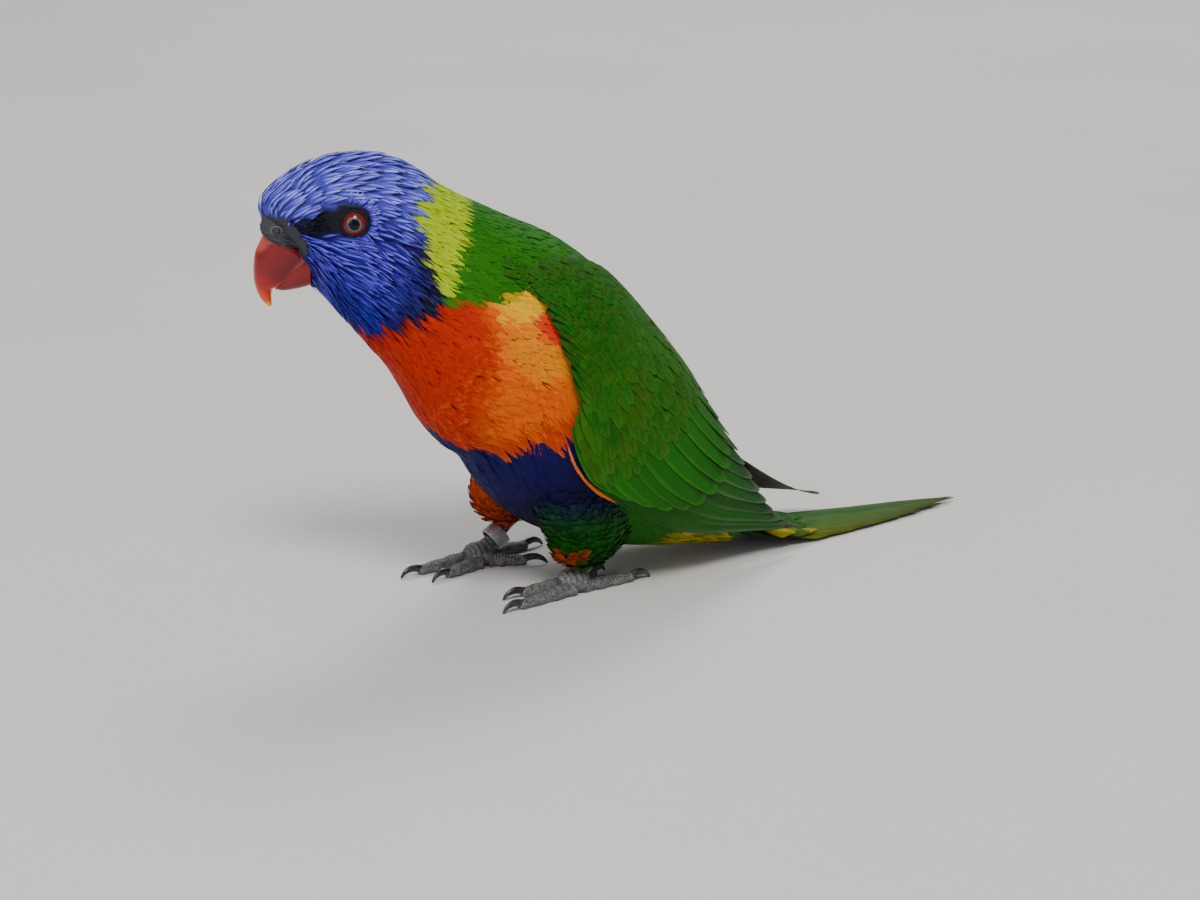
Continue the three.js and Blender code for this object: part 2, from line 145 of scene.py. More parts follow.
# where the eye's middle lies on the body: hoop, and degrees from the back
eyeSpot = {"hoop": 4.4, "deg": 68.5}
signs = {"left": -1, "right": 1}
eyeCentres = {side: turnNeck(eye["x"], sign * eye["side"], eye["z"]) for side, sign in signs.items()}
eyeLow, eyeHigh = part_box("eye_left")
rowShift = np.array((eyeLow + eyeHigh) / 2) * 1000 - eyeCentres["left"]


# Meshes

def placed(name, mesh):
    # the mesh as an object of the scene
    thing = bpy.data.objects.new(name, mesh)
    bpy.context.scene.collection.objects.link(thing)
    return thing


def bareMesh(name, points, loops, starts):
    # points in millimetres, corners as one run of point numbers, and where each face starts in that run
    mesh = bpy.data.meshes.new(name)
    mesh.vertices.add(len(points))
    mesh.vertices.foreach_set("co", ((points + rowShift) / 1000).astype(np.float32).ravel())
    mesh.loops.add(len(loops))
    mesh.loops.foreach_set("vertex_index", loops.astype(np.int32))
    mesh.polygons.add(len(starts))
    mesh.polygons.foreach_set("loop_start", starts.astype(np.int32))
    mesh.update(calc_edges=True)
    return mesh


def paintPoints(mesh, layerName, values):
    # a linear colour for each point, kept in the mesh under a name that the finishes read
    layer = mesh.color_attributes.new(layerName, "FLOAT_COLOR", "POINT")
    shown = np.concatenate([values, np.ones((len(values), 1))], 1)
    layer.data.foreach_set("color", shown.astype(np.float32).ravel())


def makePiece(name, points, loops, starts, material, slot, uvMaps=None, colours=None, crease=None):
    # a finished piece that rides on the one body
    mesh = bareMesh(name, points, loops, starts)
    for mapName, places in (uvMaps or {}).items():
        layer = mesh.uv_layers.new(name=mapName)
        layer.uv.foreach_set("vector", places[loops].astype(np.float32).ravel())
    for colourName, values in (colours or {}).items():
        paintPoints(mesh, colourName, values)
    mesh.shade_smooth()
    if crease:
        mesh.set_sharp_from_angle(angle=crease)
    mesh.materials.append(material)
    piece = placed(name, mesh)
    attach(piece, "root")
    return piece


def tubeFaces(rings, sides):
    # quads between rings of points, and one cap on each end
    grid = np.arange(rings * sides).reshape(rings, sides)
    after = np.roll(grid, -1, axis=1)
    quads = np.stack([grid[:-1], grid[1:], after[1:], after[:-1]], -1).reshape(-1, 4)
    loops = np.concatenate([quads.ravel(), grid[0], grid[-1][::-1]])
    starts = np.concatenate([np.arange(len(quads)) * 4, len(quads) * 4 + np.array([0, sides])])
    return loops, starts


def faceOut(points, loops, starts):
    # turns every face round if the closed shape is inside out, by the sign of its volume
    ends = np.append(starts[1:], len(loops))
    corners = ends - starts
    first = np.repeat(starts, corners)
    inner = np.arange(len(loops)) - first
    fan = (inner > 0) & (inner < np.repeat(corners, corners) - 1)
    k = np.nonzero(fan)[0]
    a, b, c = points[loops[first[k]]], points[loops[k]], points[loops[k + 1]]
    if np.einsum("ij,ij->", a, np.cross(b, c)) < 0:
        loops = loops[(first + (ends[np.searchsorted(starts, first)] - 1 - np.arange(len(loops))))]
    return loops


def joinParts(parts):
    # several (points, loops, starts) made one
    points, loops, starts, pointCount, loopCount = [], [], [], 0, 0
    for partPoints, partLoops, partStarts in parts:
        points.append(partPoints)
        loops.append(partLoops + pointCount)
        starts.append(partStarts + loopCount)
        pointCount += len(partPoints)
        loopCount += len(partLoops)
    return np.concatenate(points), np.concatenate(loops), np.concatenate(starts)


def tube(grid):
    # a closed tube through rings of points
    rings, sides = grid.shape[:2]
    points = grid.reshape(-1, 3)
    loops, starts = tubeFaces(rings, sides)
    return points, faceOut(points, loops, starts), starts


def limbGrid(stations, rings, sides, swell=None):
    # ovals along a curve: rows are x, y, z, upright radius, level radius; swell scales the radius over t and
    # angle
    t = np.linspace(0, len(stations) - 1, rings)[:, None]
    angle = (np.arange(sides) + 0.5)[None, :] * 2 * np.pi / sides
    rows = through(stations, t + 0 * angle)
    before, after = through(stations, t - 0.05 + 0 * angle), through(stations, t + 0.05 + 0 * angle)
    along = (after - before)[..., :3]
    along /= np.linalg.norm(along, axis=-1, keepdims=True)
    level = np.stack([-along[..., 1], along[..., 0], 0 * along[..., 0]], -1)
    size = np.linalg.norm(level, axis=-1, keepdims=True)
    level = np.where(size < 0.3, (0.0, 1.0, 0.0), level / np.maximum(size, 1e-6))
    upright = np.cross(along, level)
    upright *= np.sign(upright[..., 2:3]) + (upright[..., 2:3] == 0)
    grow = swell(t / (len(stations) - 1), angle) if swell else np.ones_like(t + angle)
    grown = rows[..., 3:5] * grow[..., None]
    return (rows[..., :3] + upright * (grown[..., 0] * np.cos(angle))[..., None]
            + level * (grown[..., 1] * np.sin(angle))[..., None])


# Vanes

def vaneFaces(count, rows, columns):
    # the top as quads, the underside as one quad a row from edge to edge, and a cap at each end
    grid = np.arange((rows + 1) * (columns + 1)).reshape(rows + 1, columns + 1)
    top = np.stack([grid[:-1, :-1], grid[1:, :-1], grid[1:, 1:], grid[:-1, 1:]], -1).reshape(-1, 4)
    under = np.stack([grid[:-1, 0], grid[:-1, -1], grid[1:, -1], grid[1:, 0]], -1)
    quads = np.concatenate([top, under])
    pattern = np.concatenate([quads.ravel(), grid[0], grid[-1][::-1]])
    marks = np.concatenate([np.arange(len(quads)) * 4, len(quads) * 4 + np.array([0, columns + 1])])
    shift = np.arange(count)[:, None]
    return (pattern + shift * grid.size).ravel(), (marks + shift * len(pattern)).ravel()


def vaneOutline(u, rootShare, tipShare):
    # half width along a vane: opens from the root, full past the middle and closes to the tip, by two
    # parabolas
    opening = rootShare + (1 - rootShare) * (1 - (1 - np.clip(u / 0.45, 0, 1)) ** 2)
    closing = 1 - (1 - tipShare) * np.clip((u - 0.6) / 0.4, 0, 1) ** 2
    return opening * closing


def layVanes(at, s, a, size, shape):
    # vanes as patches of the surface itself: each runs from its root along the lie, turned by lean, rises
    # from rootDepth to tipDepth under the surface and flattens as it does, arches across and frays at its
    # tip
    count, rows, columns = len(s), shape["rows"], shape["columns"]
    u = np.linspace(0, 1, rows + 1)[None, :, None]
    v = np.linspace(-1, 1, columns + 1)[None, None, :]
    perS, perA = lieOf(at, s, a)[1:]
    each = {key: np.broadcast_to(value, (count,))[:, None, None] for key, value in size.items()}
    length, width, lean, root, tip = (each[k] for k in ("length", "width", "lean", "rootDepth", "tipDepth"))
    fray = draw.uniform(-1, 0.35, (count, 1, columns + 1)) * shape["fray"] * (u > 0.99)
    along = length * (u * (1 - shape["round"] * np.abs(v) ** 2.2) + fray)
    side = width * v * vaneOutline(u, shape["rootShare"], shape["tipShare"])
    ds = (along * np.cos(lean) - side * np.sin(lean)) / perS[:, None, None]
    da = (along * np.sin(lean) + side * np.cos(lean)) / perA[:, None, None]
    placeS, placeA = s[:, None, None] + ds, a[:, None, None] + da
    points = at(placeS, placeA)
    outward = lieOf(at, placeS, placeA)[0]
    lift = draw.normal(0, shape["loose"], (count, 1, 1)) * u ** 2
    height = -root + (root - tip) * (1 - (1 - u) ** shape["rise"]) - shape["camber"] * width * v * v + lift
    points = points + outward * height[..., None]
    vane = np.stack(np.broadcast_arrays(side, along), -1)
    return {"points": points, "s": placeS, "a": placeA, "u": u, "v": v, "vane": vane, "rootS": s, "rootA": a}


bakePatch = 0.003


def coatPiece(name, coat, colours, span, material, slot):
    # span gives the whole unwrap's reach in s and in a, so each vane's bake patch lies at its root's place
    count, rows, columns = coat["points"].shape[:3]
    loops, starts = vaneFaces(count, rows - 1, columns - 1)
    (lowS, highS), (lowA, highA) = span
    rootU = 0.01 + 0.975 * (coat["rootS"] - lowS) / (highS - lowS)
    rootV = 0.01 + 0.975 * (coat["rootA"] - lowA) / (highA - lowA)
    grid = coat["points"].shape
    bakeU = rootU[:, None, None] + bakePatch * np.broadcast_to(coat["u"], grid[:3])
    bakeV = rootV[:, None, None] + bakePatch * (np.broadcast_to(coat["v"], grid[:3]) + 1) / 2
    maps = {"vane": coat["vane"].reshape(-1, 2), "OFBake": np.stack([bakeU, bakeV], -1).reshape(-1, 2)}
    layers = colours if isinstance(colours, dict) else {"plumage": colours}
    layers = {key: np.broadcast_to(shown, grid).reshape(-1, 3) for key, shown in layers.items()}
    points = coat["points"].reshape(-1, 3)
    makePiece(name, points, loops, starts, material, slot, maps, layers, crease=rad(70))
    print(f"{name}: {count} vanes")


def scatterRoots(at, reachS, reachA, pitch, midA):
    # rows the first pitch apart along the surface, roots the second pitch apart along each row, every other
    # row half a step on, and each root moved a little at random
    fine = np.linspace(*reachS, 160)
    run = np.append(0, np.cumsum(np.linalg.norm(np.diff(at(fine, np.full(160, midA)), axis=0), axis=-1)))
    rowCount = max(2, int(run[-1] / pitch[0]))
    rows = np.interp((np.arange(rowCount) + 0.5) / rowCount * run[-1], run, fine)
    angles = np.linspace(*reachA, 90)
    lines = at(rows[:, None] + 0 * angles, angles + 0 * rows[:, None])
    arcs = np.cumsum(np.linalg.norm(np.diff(lines, axis=1), axis=-1), axis=1)
    found = []
    for k, arc in enumerate(arcs):
        count = max(2, int(arc[-1] / pitch[1]))
        places = (np.arange(count) + 0.25 + 0.5 * (k % 2)) / count * arc[-1]
        found.append(np.stack([np.full(count, rows[k]), np.interp(places, np.append(0, arc), angles)], -1))
    roots = np.concatenate(found)
    perS, perA = lieOf(at, roots[:, 0], roots[:, 1])[1:]
    nudge = draw.uniform(-1, 1, roots.shape) * np.array(pitch) * (0.45, 0.3)
    return roots[:, 0] + nudge[:, 0] / perS, roots[:, 1] + nudge[:, 1] / perA


# Markings

def tint(red, green, blue):
    # a screen colour from 0 to 255 made linear
    c = np.array([red, green, blue]) / 255
    return np.where(c <= 0.04045, c / 12.92, ((c + 0.055) / 1.055) ** 2.4)


plumes = {
    "crown": tint(72, 70, 176), "crownStreak": tint(146, 154, 255), "cheek": tint(28, 18, 116),
    "cheekStreak": tint(108, 102, 244), "throat": tint(12, 8, 84), "throatStreak": tint(34, 34, 180),
    "hind": tint(12, 12, 40), "lore": tint(10, 13, 24),
    "collar": tint(164, 190, 0), "mantle": tint(34, 108, 0), "back": tint(20, 90, 0),
    "rump": tint(26, 104, 2), "red": tint(180, 32, 0), "orange": tint(226, 96, 0),
    "yellow": tint(244, 182, 0), "pink": tint(220, 52, 26), "rim": tint(150, 132, 0),
    "navy": tint(18, 10, 92), "night": tint(6, 6, 36), "flank": tint(22, 92, 4), "vent": tint(180, 150, 0),
    "olive": tint(70, 100, 8), "bar": tint(30, 24, 60),
}


def soft(value, edge, width):
    # 0 before the edge and 1 after it, over a width
    t = np.clip((value - edge) / width + 0.5, 0, 1)
    return t * t * (3 - 2 * t)


def mix(one, two, share):
    # the first colour at share 0 and the second at 1
    return one + (two - one) * np.asarray(share)[..., None]


def blot(s, deg, middle, reach):
    # a round soft patch: 1 in the middle, 0 past its reach
    away = np.hypot((s - middle[0]) / reach[0], (deg - middle[1]) / reach[1])
    return 1 - soft(away, 0.8, 0.5)


def blueEdge(deg):
    # the hoop where the head's blue ends
    return np.interp(deg, [19, 49, 61, 72, 80, 87, 93, 104, 117, 133, 152, 180],
                     [6.75, 6.5, 6.6, 6.9, 7.3, 7.65, 7.7, 7.5, 7.1, 6.35, 5.2, 4.7])


def fromBack(a):
    # degrees from the middle of the back, the same on both sides
    return np.abs(np.degrees((a + np.pi) % (2 * np.pi) - np.pi))


def bodyColours(s, a):
    # the plumage over the body by place along it and angle from the back, alike on both sides
    deg = fromBack(a)
    blueEnd = blueEdge(deg)
    collarEnd = np.interp(deg, [13, 43, 75, 84, 90, 100], [7.8, 7.7, 7.7, 7.75, 7.3, 3])
    breastTop = np.interp(s, [7.6, 7.85, 8.15, 8.5, 8.8, 9.0, 9.15, 9.5, 9.95, 11, 11.6, 11.95, 13],
                          [91, 88.9, 82, 76.7, 70, 63.3, 57, 60, 66, 78, 92, 105, 112])
    breastEnd = np.interp(deg, [60, 107, 118, 131, 144, 152, 158, 162, 180],
                          [12.3, 11.85, 11.6, 11.35, 11.05, 10.4, 9.9, 9.35, 9.0])
    goldStart = np.interp(deg, [75, 81, 91, 102, 117, 134, 150], [8.3, 8.45, 8.9, 9.3, 9.55, 9.95, 10.8])
    flankStart = np.interp(deg, [110, 129, 132, 145, 160, 180], [12.9, 13.1, 12.8, 13.6, 13.6, 13.6])
    head = mix(plumes["crown"], plumes["cheek"], soft(deg, 62, 30))
    head = mix(head, plumes["throat"], soft(deg, 128, 50) * soft(s, 2.5, 2))
    hind = soft(s, blueEnd - 0.55, 0.7) * soft(deg, 66, 20) * (1 - soft(deg, 118, 30))
    head = mix(head, plumes["hind"], hind)
    breast = mix(plumes["red"], plumes["orange"], soft(s, goldStart, 0.7))
    breast = mix(breast, plumes["yellow"], blot(s, deg, (9.0, 66), (0.75, 17)) * 0.95)
    breast = mix(breast, plumes["yellow"], blot(s, deg, (9.9, 88), (0.9, 16)) * 0.35)
    breast = mix(breast, plumes["pink"], blot(s, deg, (9.95, 74), (0.62, 9)))
    breast = mix(breast, plumes["rim"], soft(s, 10.4, 0.4) * (1 - soft(deg, breastTop + 14, 8)) * 0.8)
    breast = mix(breast, plumes["red"], soft(s, breastEnd - 0.55, 0.5) * soft(deg, 85, 20) * 0.75)
    belly = mix(plumes["navy"], plumes["night"], soft(deg, 118, 30) * 0.3 + soft(s, 12.2, 1.4) * 0.6)
    belly = mix(belly, plumes["flank"], soft(s, flankStart, 0.5))
    vent = mix(plumes["olive"], plumes["vent"], 0.5 + 0.5 * np.sin(s * 9 + deg * 0.35))
    belly = mix(belly, vent, soft(s, 14.9, 0.5))
    upper = mix(plumes["mantle"], plumes["back"], soft(s, 9.6, 1.6) * soft(deg, 45, 30))
    upper = mix(upper, plumes["rump"], soft(s, 12.5, 1.5))
    under = mix(breast, belly, soft(s, breastEnd, 0.05))
    rear = mix(upper, under, soft(deg, breastTop, 5))
    body = mix(plumes["collar"], rear, soft(s, collarEnd, 0.12))
    whole = mix(head, body, soft(s, blueEnd, 0.04))
    return mix(whole, plumes["lore"], loreShare(s, deg)), deg


def loreShare(s, deg):
    # the dark bare band from the cere to the eye, and the ring round the eye
    middle = np.interp(s, [0.6, 2.05, 3.1, 4.4], [72, 74, 72, 69])
    reach = np.interp(s, [0.6, 2.0, 3.9, 4.6, 5.1], [6, 6, 9, 9, 3])
    band = (1 - soft(np.abs(deg - middle), reach, 3)) * (1 - soft(s, 4.9, 0.2))
    ring = 1 - soft(np.hypot((s - 4.42) / 0.58, (deg - eyeSpot["deg"]) / 13.5), 1, 0.2)
    return np.maximum(band * (1 - soft(s, 4.6, 0.4)), ring)


# Finishes

class Value:
    # a shader socket with Python's operators, each of which adds a Math node

    def __init__(self, finish, socket):
        self.finish = finish
        self.socket = socket

    def maths(self, operation, *others):
        inputs = dict(enumerate((self, *others)))
        return self.finish.node("Math", {"operation": operation}, inputs)

    def __add__(self, other):
        return self.maths("ADD", other)

    def __sub__(self, other):
        return self.maths("SUBTRACT", other)

    def __rsub__(self, other):
        return self.finish.node("Math", {"operation": "SUBTRACT"}, {0: other, 1: self})

    def __mul__(self, other):
        return self.maths("MULTIPLY", other)

    __radd__ = __add__
    __rmul__ = __mul__

    def within(self, low, high):
        # 0 below low and 1 above high, smoothly
        return self.finish.node("MapRange", {"interpolation_type": "SMOOTHSTEP"},
                                {"Value": self, "From Min": low, "From Max": high})


class Finish:
    # one material and its nodes

    def __init__(self, name):
        self.material = bpy.data.materials.new(name)
        self.material.use_nodes = True
        self.tree = self.material.node_tree
        self.tree.nodes.clear()

    def node(self, kind, settings=None, inputs=None, output=0):
        made = self.tree.nodes.new("ShaderNode" + kind)
        for key, value in (settings or {}).items():
            setattr(made, key, value)
        for key, value in (inputs or {}).items():
            if isinstance(value, Value):
                self.tree.links.new(value.socket, made.inputs[key])
            else:
                made.inputs[key].default_value = value
        return Value(self, made.outputs[output])

    def blend(self, share, one, two):
        # the Mix node's colour sockets are its inputs 6 and 7 and its output 2
        full = [c if isinstance(c, Value) else (*c, 1) for c in (one, two)]
        return self.node("Mix", {"data_type": "RGBA"}, {0: share, 6: full[0], 7: full[1]}, 2)

    def scale(self, colour, factor):
        return self.node("VectorMath", {"operation": "SCALE"}, {0: colour, "Scale": factor})

    def place(self):
        return self.node("TexCoord", output="Object")

    def noise(self, scale, detail=3, rough=0.5, at=None):
        return self.node("TexNoise", {}, {"Vector": at or self.place(), "Scale": scale, "Detail": detail,
                                          "Roughness": rough})

    def split(self, vector):
        parts = self.tree.nodes.new("ShaderNodeSeparateXYZ")
        self.tree.links.new(vector.socket, parts.inputs[0])
        return [Value(self, socket) for socket in parts.outputs]

    def shade(self, varied, fixed=None, bump=None, strength=0.3, distance=0.0003):
        inputs = {**varied, **(fixed or {})}
        if bump is not None:
            relief = {"Height": bump, "Strength": strength, "Distance": distance}
            inputs["Normal"] = self.node("Bump", {}, relief)
        shader = self.node("BsdfPrincipled", {}, inputs)
        out = self.tree.nodes.new("ShaderNodeOutputMaterial")
        self.tree.links.new(shader.socket, out.inputs["Surface"])
        return self.material


def featherFinish(name, look):
    # plumage colour from the mesh, darkened between slanting barbs and by a slow mottle, with a fine shaft;
    # the head's feathers have a pale streak down the middle too
    f = Finish(name)
    colour = f.node("Attribute", {"attribute_name": "plumage"})
    across, along = f.split(f.node("UVMap", {"uv_map": "vane"}))[:2]
    side = across.maths("ABSOLUTE")
    wander = f.noise(look["wander"], 2)
    phase = (along - side * look["slant"]) * (2 * np.pi / look["barb"]) + wander * 9
    barbs = phase.maths("SINE") * 0.5 + 0.5
    mottle = f.noise(look["mottle"], 4, 0.6)
    shaft = 1 - side.within(0.08, 0.26)
    tone = 1 - look["barbShade"] * barbs - look["mottleShade"] * mottle
    tone = tone - shaft * look["shaftShade"] + look["lighten"]
    bump = barbs * 0.6 + shaft
    if "streak" in look:
        pale = 1 - (side + 0.16 * (wander - 0.5)).within(look["streak"] * 0.25, look["streak"])
        colour = f.blend(pale, colour, f.node("Attribute", {"attribute_name": "streak"}))
    return f.shade({"Base Color": f.scale(colour, tone), "Roughness": 0.42 + 0.3 * mottle},
                   {"Specular IOR Level": look["gloss"]}, bump, look["relief"], 0.0002)


softFeather = {"wander": 400, "slant": 0.9, "barb": 0.5, "barbShade": 0.2, "mottle": 160, "mottleShade": 0.3,
               "shaftShade": 0.03, "lighten": 0.2, "gloss": 0.12, "relief": 0.3}
crispFeather = {**softFeather, "slant": 0.8, "barb": 0.8, "barbShade": 0.12, "mottleShade": 0.25,
                "shaftShade": 0.3, "relief": 0.25}
streakedFeather = {**softFeather, "barbShade": 0.1, "mottleShade": 0.2, "streak": 0.34}
featherMaterial = {
    "head": featherFinish("streakedHeadFeather", streakedFeather),
    "body": featherFinish("softBodyFeather", softFeather),
    "wing": featherFinish("crispWingFeather", crispFeather),
}


def skinFinish():
    # the markings of the coat on bare skin, with pores
    f = Finish("skinUnderFeathers")
    colour = f.node("Attribute", {"attribute_name": "plumage"})
    grain = f.noise(900, 4, 0.6)
    cells = f.node("TexVoronoi", {}, {"Vector": f.place(), "Scale": 1100})
    return f.shade({"Base Color": f.scale(colour, 0.65 + 0.5 * grain), "Roughness": 0.55 + 0.2 * grain},
                   {"Specular IOR Level": 0.2}, cells + grain, 0.5, 0.00025)


skinMaterial = skinFinish()


# Skin

coatDepths = {"s": [0, 1, 4, 7, 9, 12, 16], "depth": [0.5, 0.8, 1.1, 1.7, 2.3, 2.5, 1.8]}


def coatDepth(s):
    # how far the skin lies under the coat's outside
    return np.interp(s, coatDepths["s"], coatDepths["depth"])


def thighRows(foot):
    # x, y, z, half length, half width, from the top to the hem
    x, y, hem = foot["x"], foot["y"], foot["hem"]
    return np.array([(10, y, 42, 12, 8), (11, y, 29, 14.5, 8.6), (x / 2 + 9, y, hem + 9, 12.4, 8),
                     (x / 2 + 7.5, y, hem + 3.2, 9, 6.2), (x / 2 + 7, y, hem, 4.4, 3.8)], float)


def thighAt(foot):
    # level ovals down the thigh: t runs from the top to the hem, the angle from the front through the right
    rows = thighRows(foot)

    def at(t, angle):
        r = through(rows, t)
        return np.stack(np.broadcast_arrays(r[..., 0] - r[..., 3] * np.cos(angle),
                                            r[..., 1] + r[..., 4] * np.sin(angle), r[..., 2]), -1)
    return at


feet = {"left": {"x": 8, "y": -16, "hem": 8.6}, "right": {"x": -4.5, "y": 20, "hem": 13.4}}
cereHoops = np.array([
    (-77.4, 117.0, -69.4, 112.4, 6.0, 0, 2, 0),
    (-78.6, 114.0, -69.1, 109.8, 6.5, 0, 2, 0),
    (-78.4, 112.2, -68.2, 108.3, 6.4, 0, 2, 0),
    (-77.6, 111.2, -67.6, 107.1, 6.0, 0, 2, 0),
])


def eyeFrame(side):
    # the eye's middle, and its axis out of the head with two directions across it
    centre = eyeCentres[side]
    out = turnNeck(eye["x"], signs[side] * (eye["side"] + 1), eye["z"] + 0.08) - centre
    out /= np.linalg.norm(out)
    level = np.cross((0, 0, 1), out)
    level /= np.linalg.norm(level)
    return centre, out, level, np.cross(out, level)


def lidGrid(side):
    # a ring of skin round the eye, pinched a little at its front and back corners
    centre, out, level, upright = eyeFrame(side)
    around = np.linspace(0, 2 * np.pi, 48, endpoint=False)[:, None]
    tubeAngle = np.linspace(0, 2 * np.pi, 14, endpoint=False)[None, :]
    radius = eye["lid"] + 0.62 * np.cos(tubeAngle) + 0.12 * np.cos(2 * around)
    raised = 2.75 + 0.55 * np.sin(tubeAngle) + 0.05 * np.sin(around * 14) * np.cos(tubeAngle)
    return (centre + out * raised[..., None] + level * (radius * np.cos(around))[..., None]
            + upright * (radius * np.sin(around))[..., None])


def ringPart(grid):
    # a closed ring: quads between neighbours both ways
    index = np.arange(grid.shape[0] * grid.shape[1]).reshape(grid.shape[:2])
    nextRow, nextColumn = np.roll(index, -1, 0), np.roll(index, -1, 1)
    quads = np.stack([index, nextRow, np.roll(nextRow, -1, 1), nextColumn], -1).reshape(-1, 4)
    points, starts = grid.reshape(-1, 3), np.arange(len(quads)) * 4
    return points, faceOut(points, quads.ravel(), starts), starts


def makeSkin():
    # lofts of body, cere, thighs and lids, made one by a union; each point takes the marking of the nearest
    # place on the body
    s = np.linspace(0, len(bodyHoops) - 1, 110)[:, None]
    a = (np.arange(84) / 84 * 2 * np.pi)[None, :]
    normal = lieOf(bodyAt, s + 0 * a, a + 0 * s)[0]
    body = bodyAt(s + 0 * a, a + 0 * s) - normal * coatDepth(s)[..., None]
    t = np.linspace(0, len(cereHoops) - 1, 30)[:, None]
    b = (np.arange(48) / 48 * 2 * np.pi)[None, :]
    ridges = 0.13 * np.sin(t * 9 + 2 * np.sin(b * 3)) * (np.sin(b * 11) + 1)
    cere = hoopSurface(cereHoops)(t + 0 * b, b + 0 * t)
    cere += lieOf(hoopSurface(cereHoops), t + 0 * b, b + 0 * t)[0] * (ridges - 0.1)[..., None]
    parts = [tube(body), tube(cere)]
    for foot in feet.values():
        rows = np.linspace(0, 4, 30)[:, None]
        grid = thighAt(foot)(rows + 0 * b, b + 0 * rows)
        middle = grid.mean(axis=1, keepdims=True)
        grid[..., :2] = middle[..., :2] + (grid - middle)[..., :2] * 0.8
        parts.append(tube(grid))
    parts += [ringPart(lidGrid("left")), ringPart(lidGrid("right"))]
    shells = [placed(f"shell{k}", bareMesh(f"shell{k}", *part)) for k, part in enumerate(parts)]
    for shell in shells[1:]:
        union = shells[0].modifiers.new("union", "BOOLEAN")
        union.operation = "UNION"
        union.solver = "MANIFOLD"
        union.object = shell
    graph = bpy.context.evaluated_depsgraph_get()
    mesh = bpy.data.meshes.new_from_object(shells[0].evaluated_get(graph))
    for shell in shells:
        bpy.data.objects.remove(shell)
    mesh.name = "skin"
    points = np.empty(len(mesh.vertices) * 3, np.float32)
    mesh.vertices.foreach_get("co", points)
    points = points.reshape(-1, 3) * 1000 - rowShift
    places = np.meshgrid(np.linspace(0, 16, 97), np.linspace(-np.pi, np.pi, 61))
    sampleS, sampleA = (grid.ravel() for grid in places)
    samples = bodyAt(sampleS, sampleA)
    nearest = np.concatenate([
        ((chunk[:, None] - samples[None]) ** 2).sum(-1).argmin(1) for chunk in np.array_split(points, 60)])
    colours = bodyColours(sampleS[nearest], sampleA[nearest])[0]
    for foot in feet.values():
        inThigh = (points[:, 2] < foot["hem"] + 18) & (np.abs(points[:, 1] - foot["y"]) < 9)
        colours[inThigh] = thighColours(foot, points[inThigh])
    grey, slate = tint(66, 70, 74), tint(16, 20, 30)
    onCere = (points[:, 2] < 117.6) & (points[:, 2] > 106) & (sampleS[nearest] < 1.3)
    colours[onCere] = grey
    for side in ("left", "right"):
        centre, out = eyeFrame(side)[:2]
        away = points - centre
        onAxis = away @ out
        radial = np.sqrt(np.maximum((away ** 2).sum(-1) - onAxis ** 2, 0))
        colours = mix(colours, slate, (1 - soft(radial, 5.2, 0.8)) * (onAxis > 0))
    paintPoints(mesh, "plumage", colours)
    mesh.shade_smooth()
    mesh.materials.clear()
    mesh.materials.append(skinMaterial)
    skin = placed("skin", mesh)
    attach(skin, "root")
    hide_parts("head", "neck", "trunk", "thigh_left", "thigh_right")
    print(f"skin: {len(points)} points")


def thighColours(foot, points):
    # orange inside the thigh and in front of the far one, blue-green outside, green at the hem
    inner = np.sign(foot["y"]) * (foot["y"] - points[..., 1])
    low = 1 - soft(points[..., 2], foot["hem"] + 11, 12)
    outside = mix(mix(plumes["navy"], plumes["night"], 0.75), plumes["flank"], low)
    warm = mix(plumes["orange"], plumes["red"], 0.55)
    warmFrom = 3 if foot["y"] < 0 else -3
    ahead = foot["x"] / 2 + 7 - points[..., 0]
    cuff = soft(ahead, 2, 2) * (1 - soft(points[..., 2], foot["hem"] + 2, 2)) * 0.85
    return mix(outside, warm, np.maximum(soft(inner, warmFrom, 3), cuff))


makeSkin()


# Coat

smallVane = {"rows": 5, "columns": 2, "fray": 0.10, "round": 0.3, "rootShare": 0.5, "tipShare": 0.3,
             "camber": 0.22, "loose": 0.05, "rise": 2.2}
bodyVane = {**smallVane, "rows": 4, "columns": 4, "fray": 0.12, "round": 0.28, "tipShare": 0.5,
            "camber": 0.06, "loose": 0.03, "rise": 3.2}
hairVane = {**smallVane, "rows": 3, "columns": 2, "fray": 0, "round": 0, "tipShare": 0.15, "camber": 0.2}
wholeTurn = (-np.pi, np.pi)


def asIs(s, deg):
    # every vane at its full size
    return 1


def straight(s, deg):
    # every vane along the lie
    return 0 * s


def layBodyCoat(name, field, material, slot):
    # one field of vanes, each coloured by the marking near its tip
    s, a = scatterRoots(bodyAt, field["reach"], field.get("angles", wholeTurn), field["pitch"], rad(90))
    deg = np.abs(np.degrees(a))
    keep = field["keep"](s, deg)
    s, a, deg = s[keep], a[keep], deg[keep]
    share = (1 + draw.uniform(-0.18, 0.18, len(s))) * field.get("shrink", asIs)(s, deg)
    depth = coatDepth(s)
    stray = draw.normal(0, field.get("stray", 0.09), len(s))
    lean = np.sign(a) * field.get("lean", straight)(s, deg) + stray
    size = {"length": field["length"] * share, "width": field["width"] * share, "lean": lean,
            "rootDepth": depth * 0.92, "tipDepth": depth * 0.12 - field.get("proud", 0)}
    coat = layVanes(bodyAt, s, a, size, field["shape"])
    perS, perA = lieOf(bodyAt, s, a)[1:]
    tipS = s + 0.72 * size["length"] * np.cos(lean) / perS + draw.normal(0, 0.03, len(s))
    tipA = a + 0.72 * size["length"] * np.sin(lean) / perA + draw.normal(0, 0.02, len(s))
    base, deg = bodyColours(tipS, tipA)
    shown = field["paint"](base, tipS, deg, coat)
    coatPiece(name, coat, shown, (field["reach"], wholeTurn), material, slot)


def vary(colours, amount):
    # each vane a little lighter or darker than the next
    return colours * (1 + draw.normal(0, amount, len(colours)))[:, None]


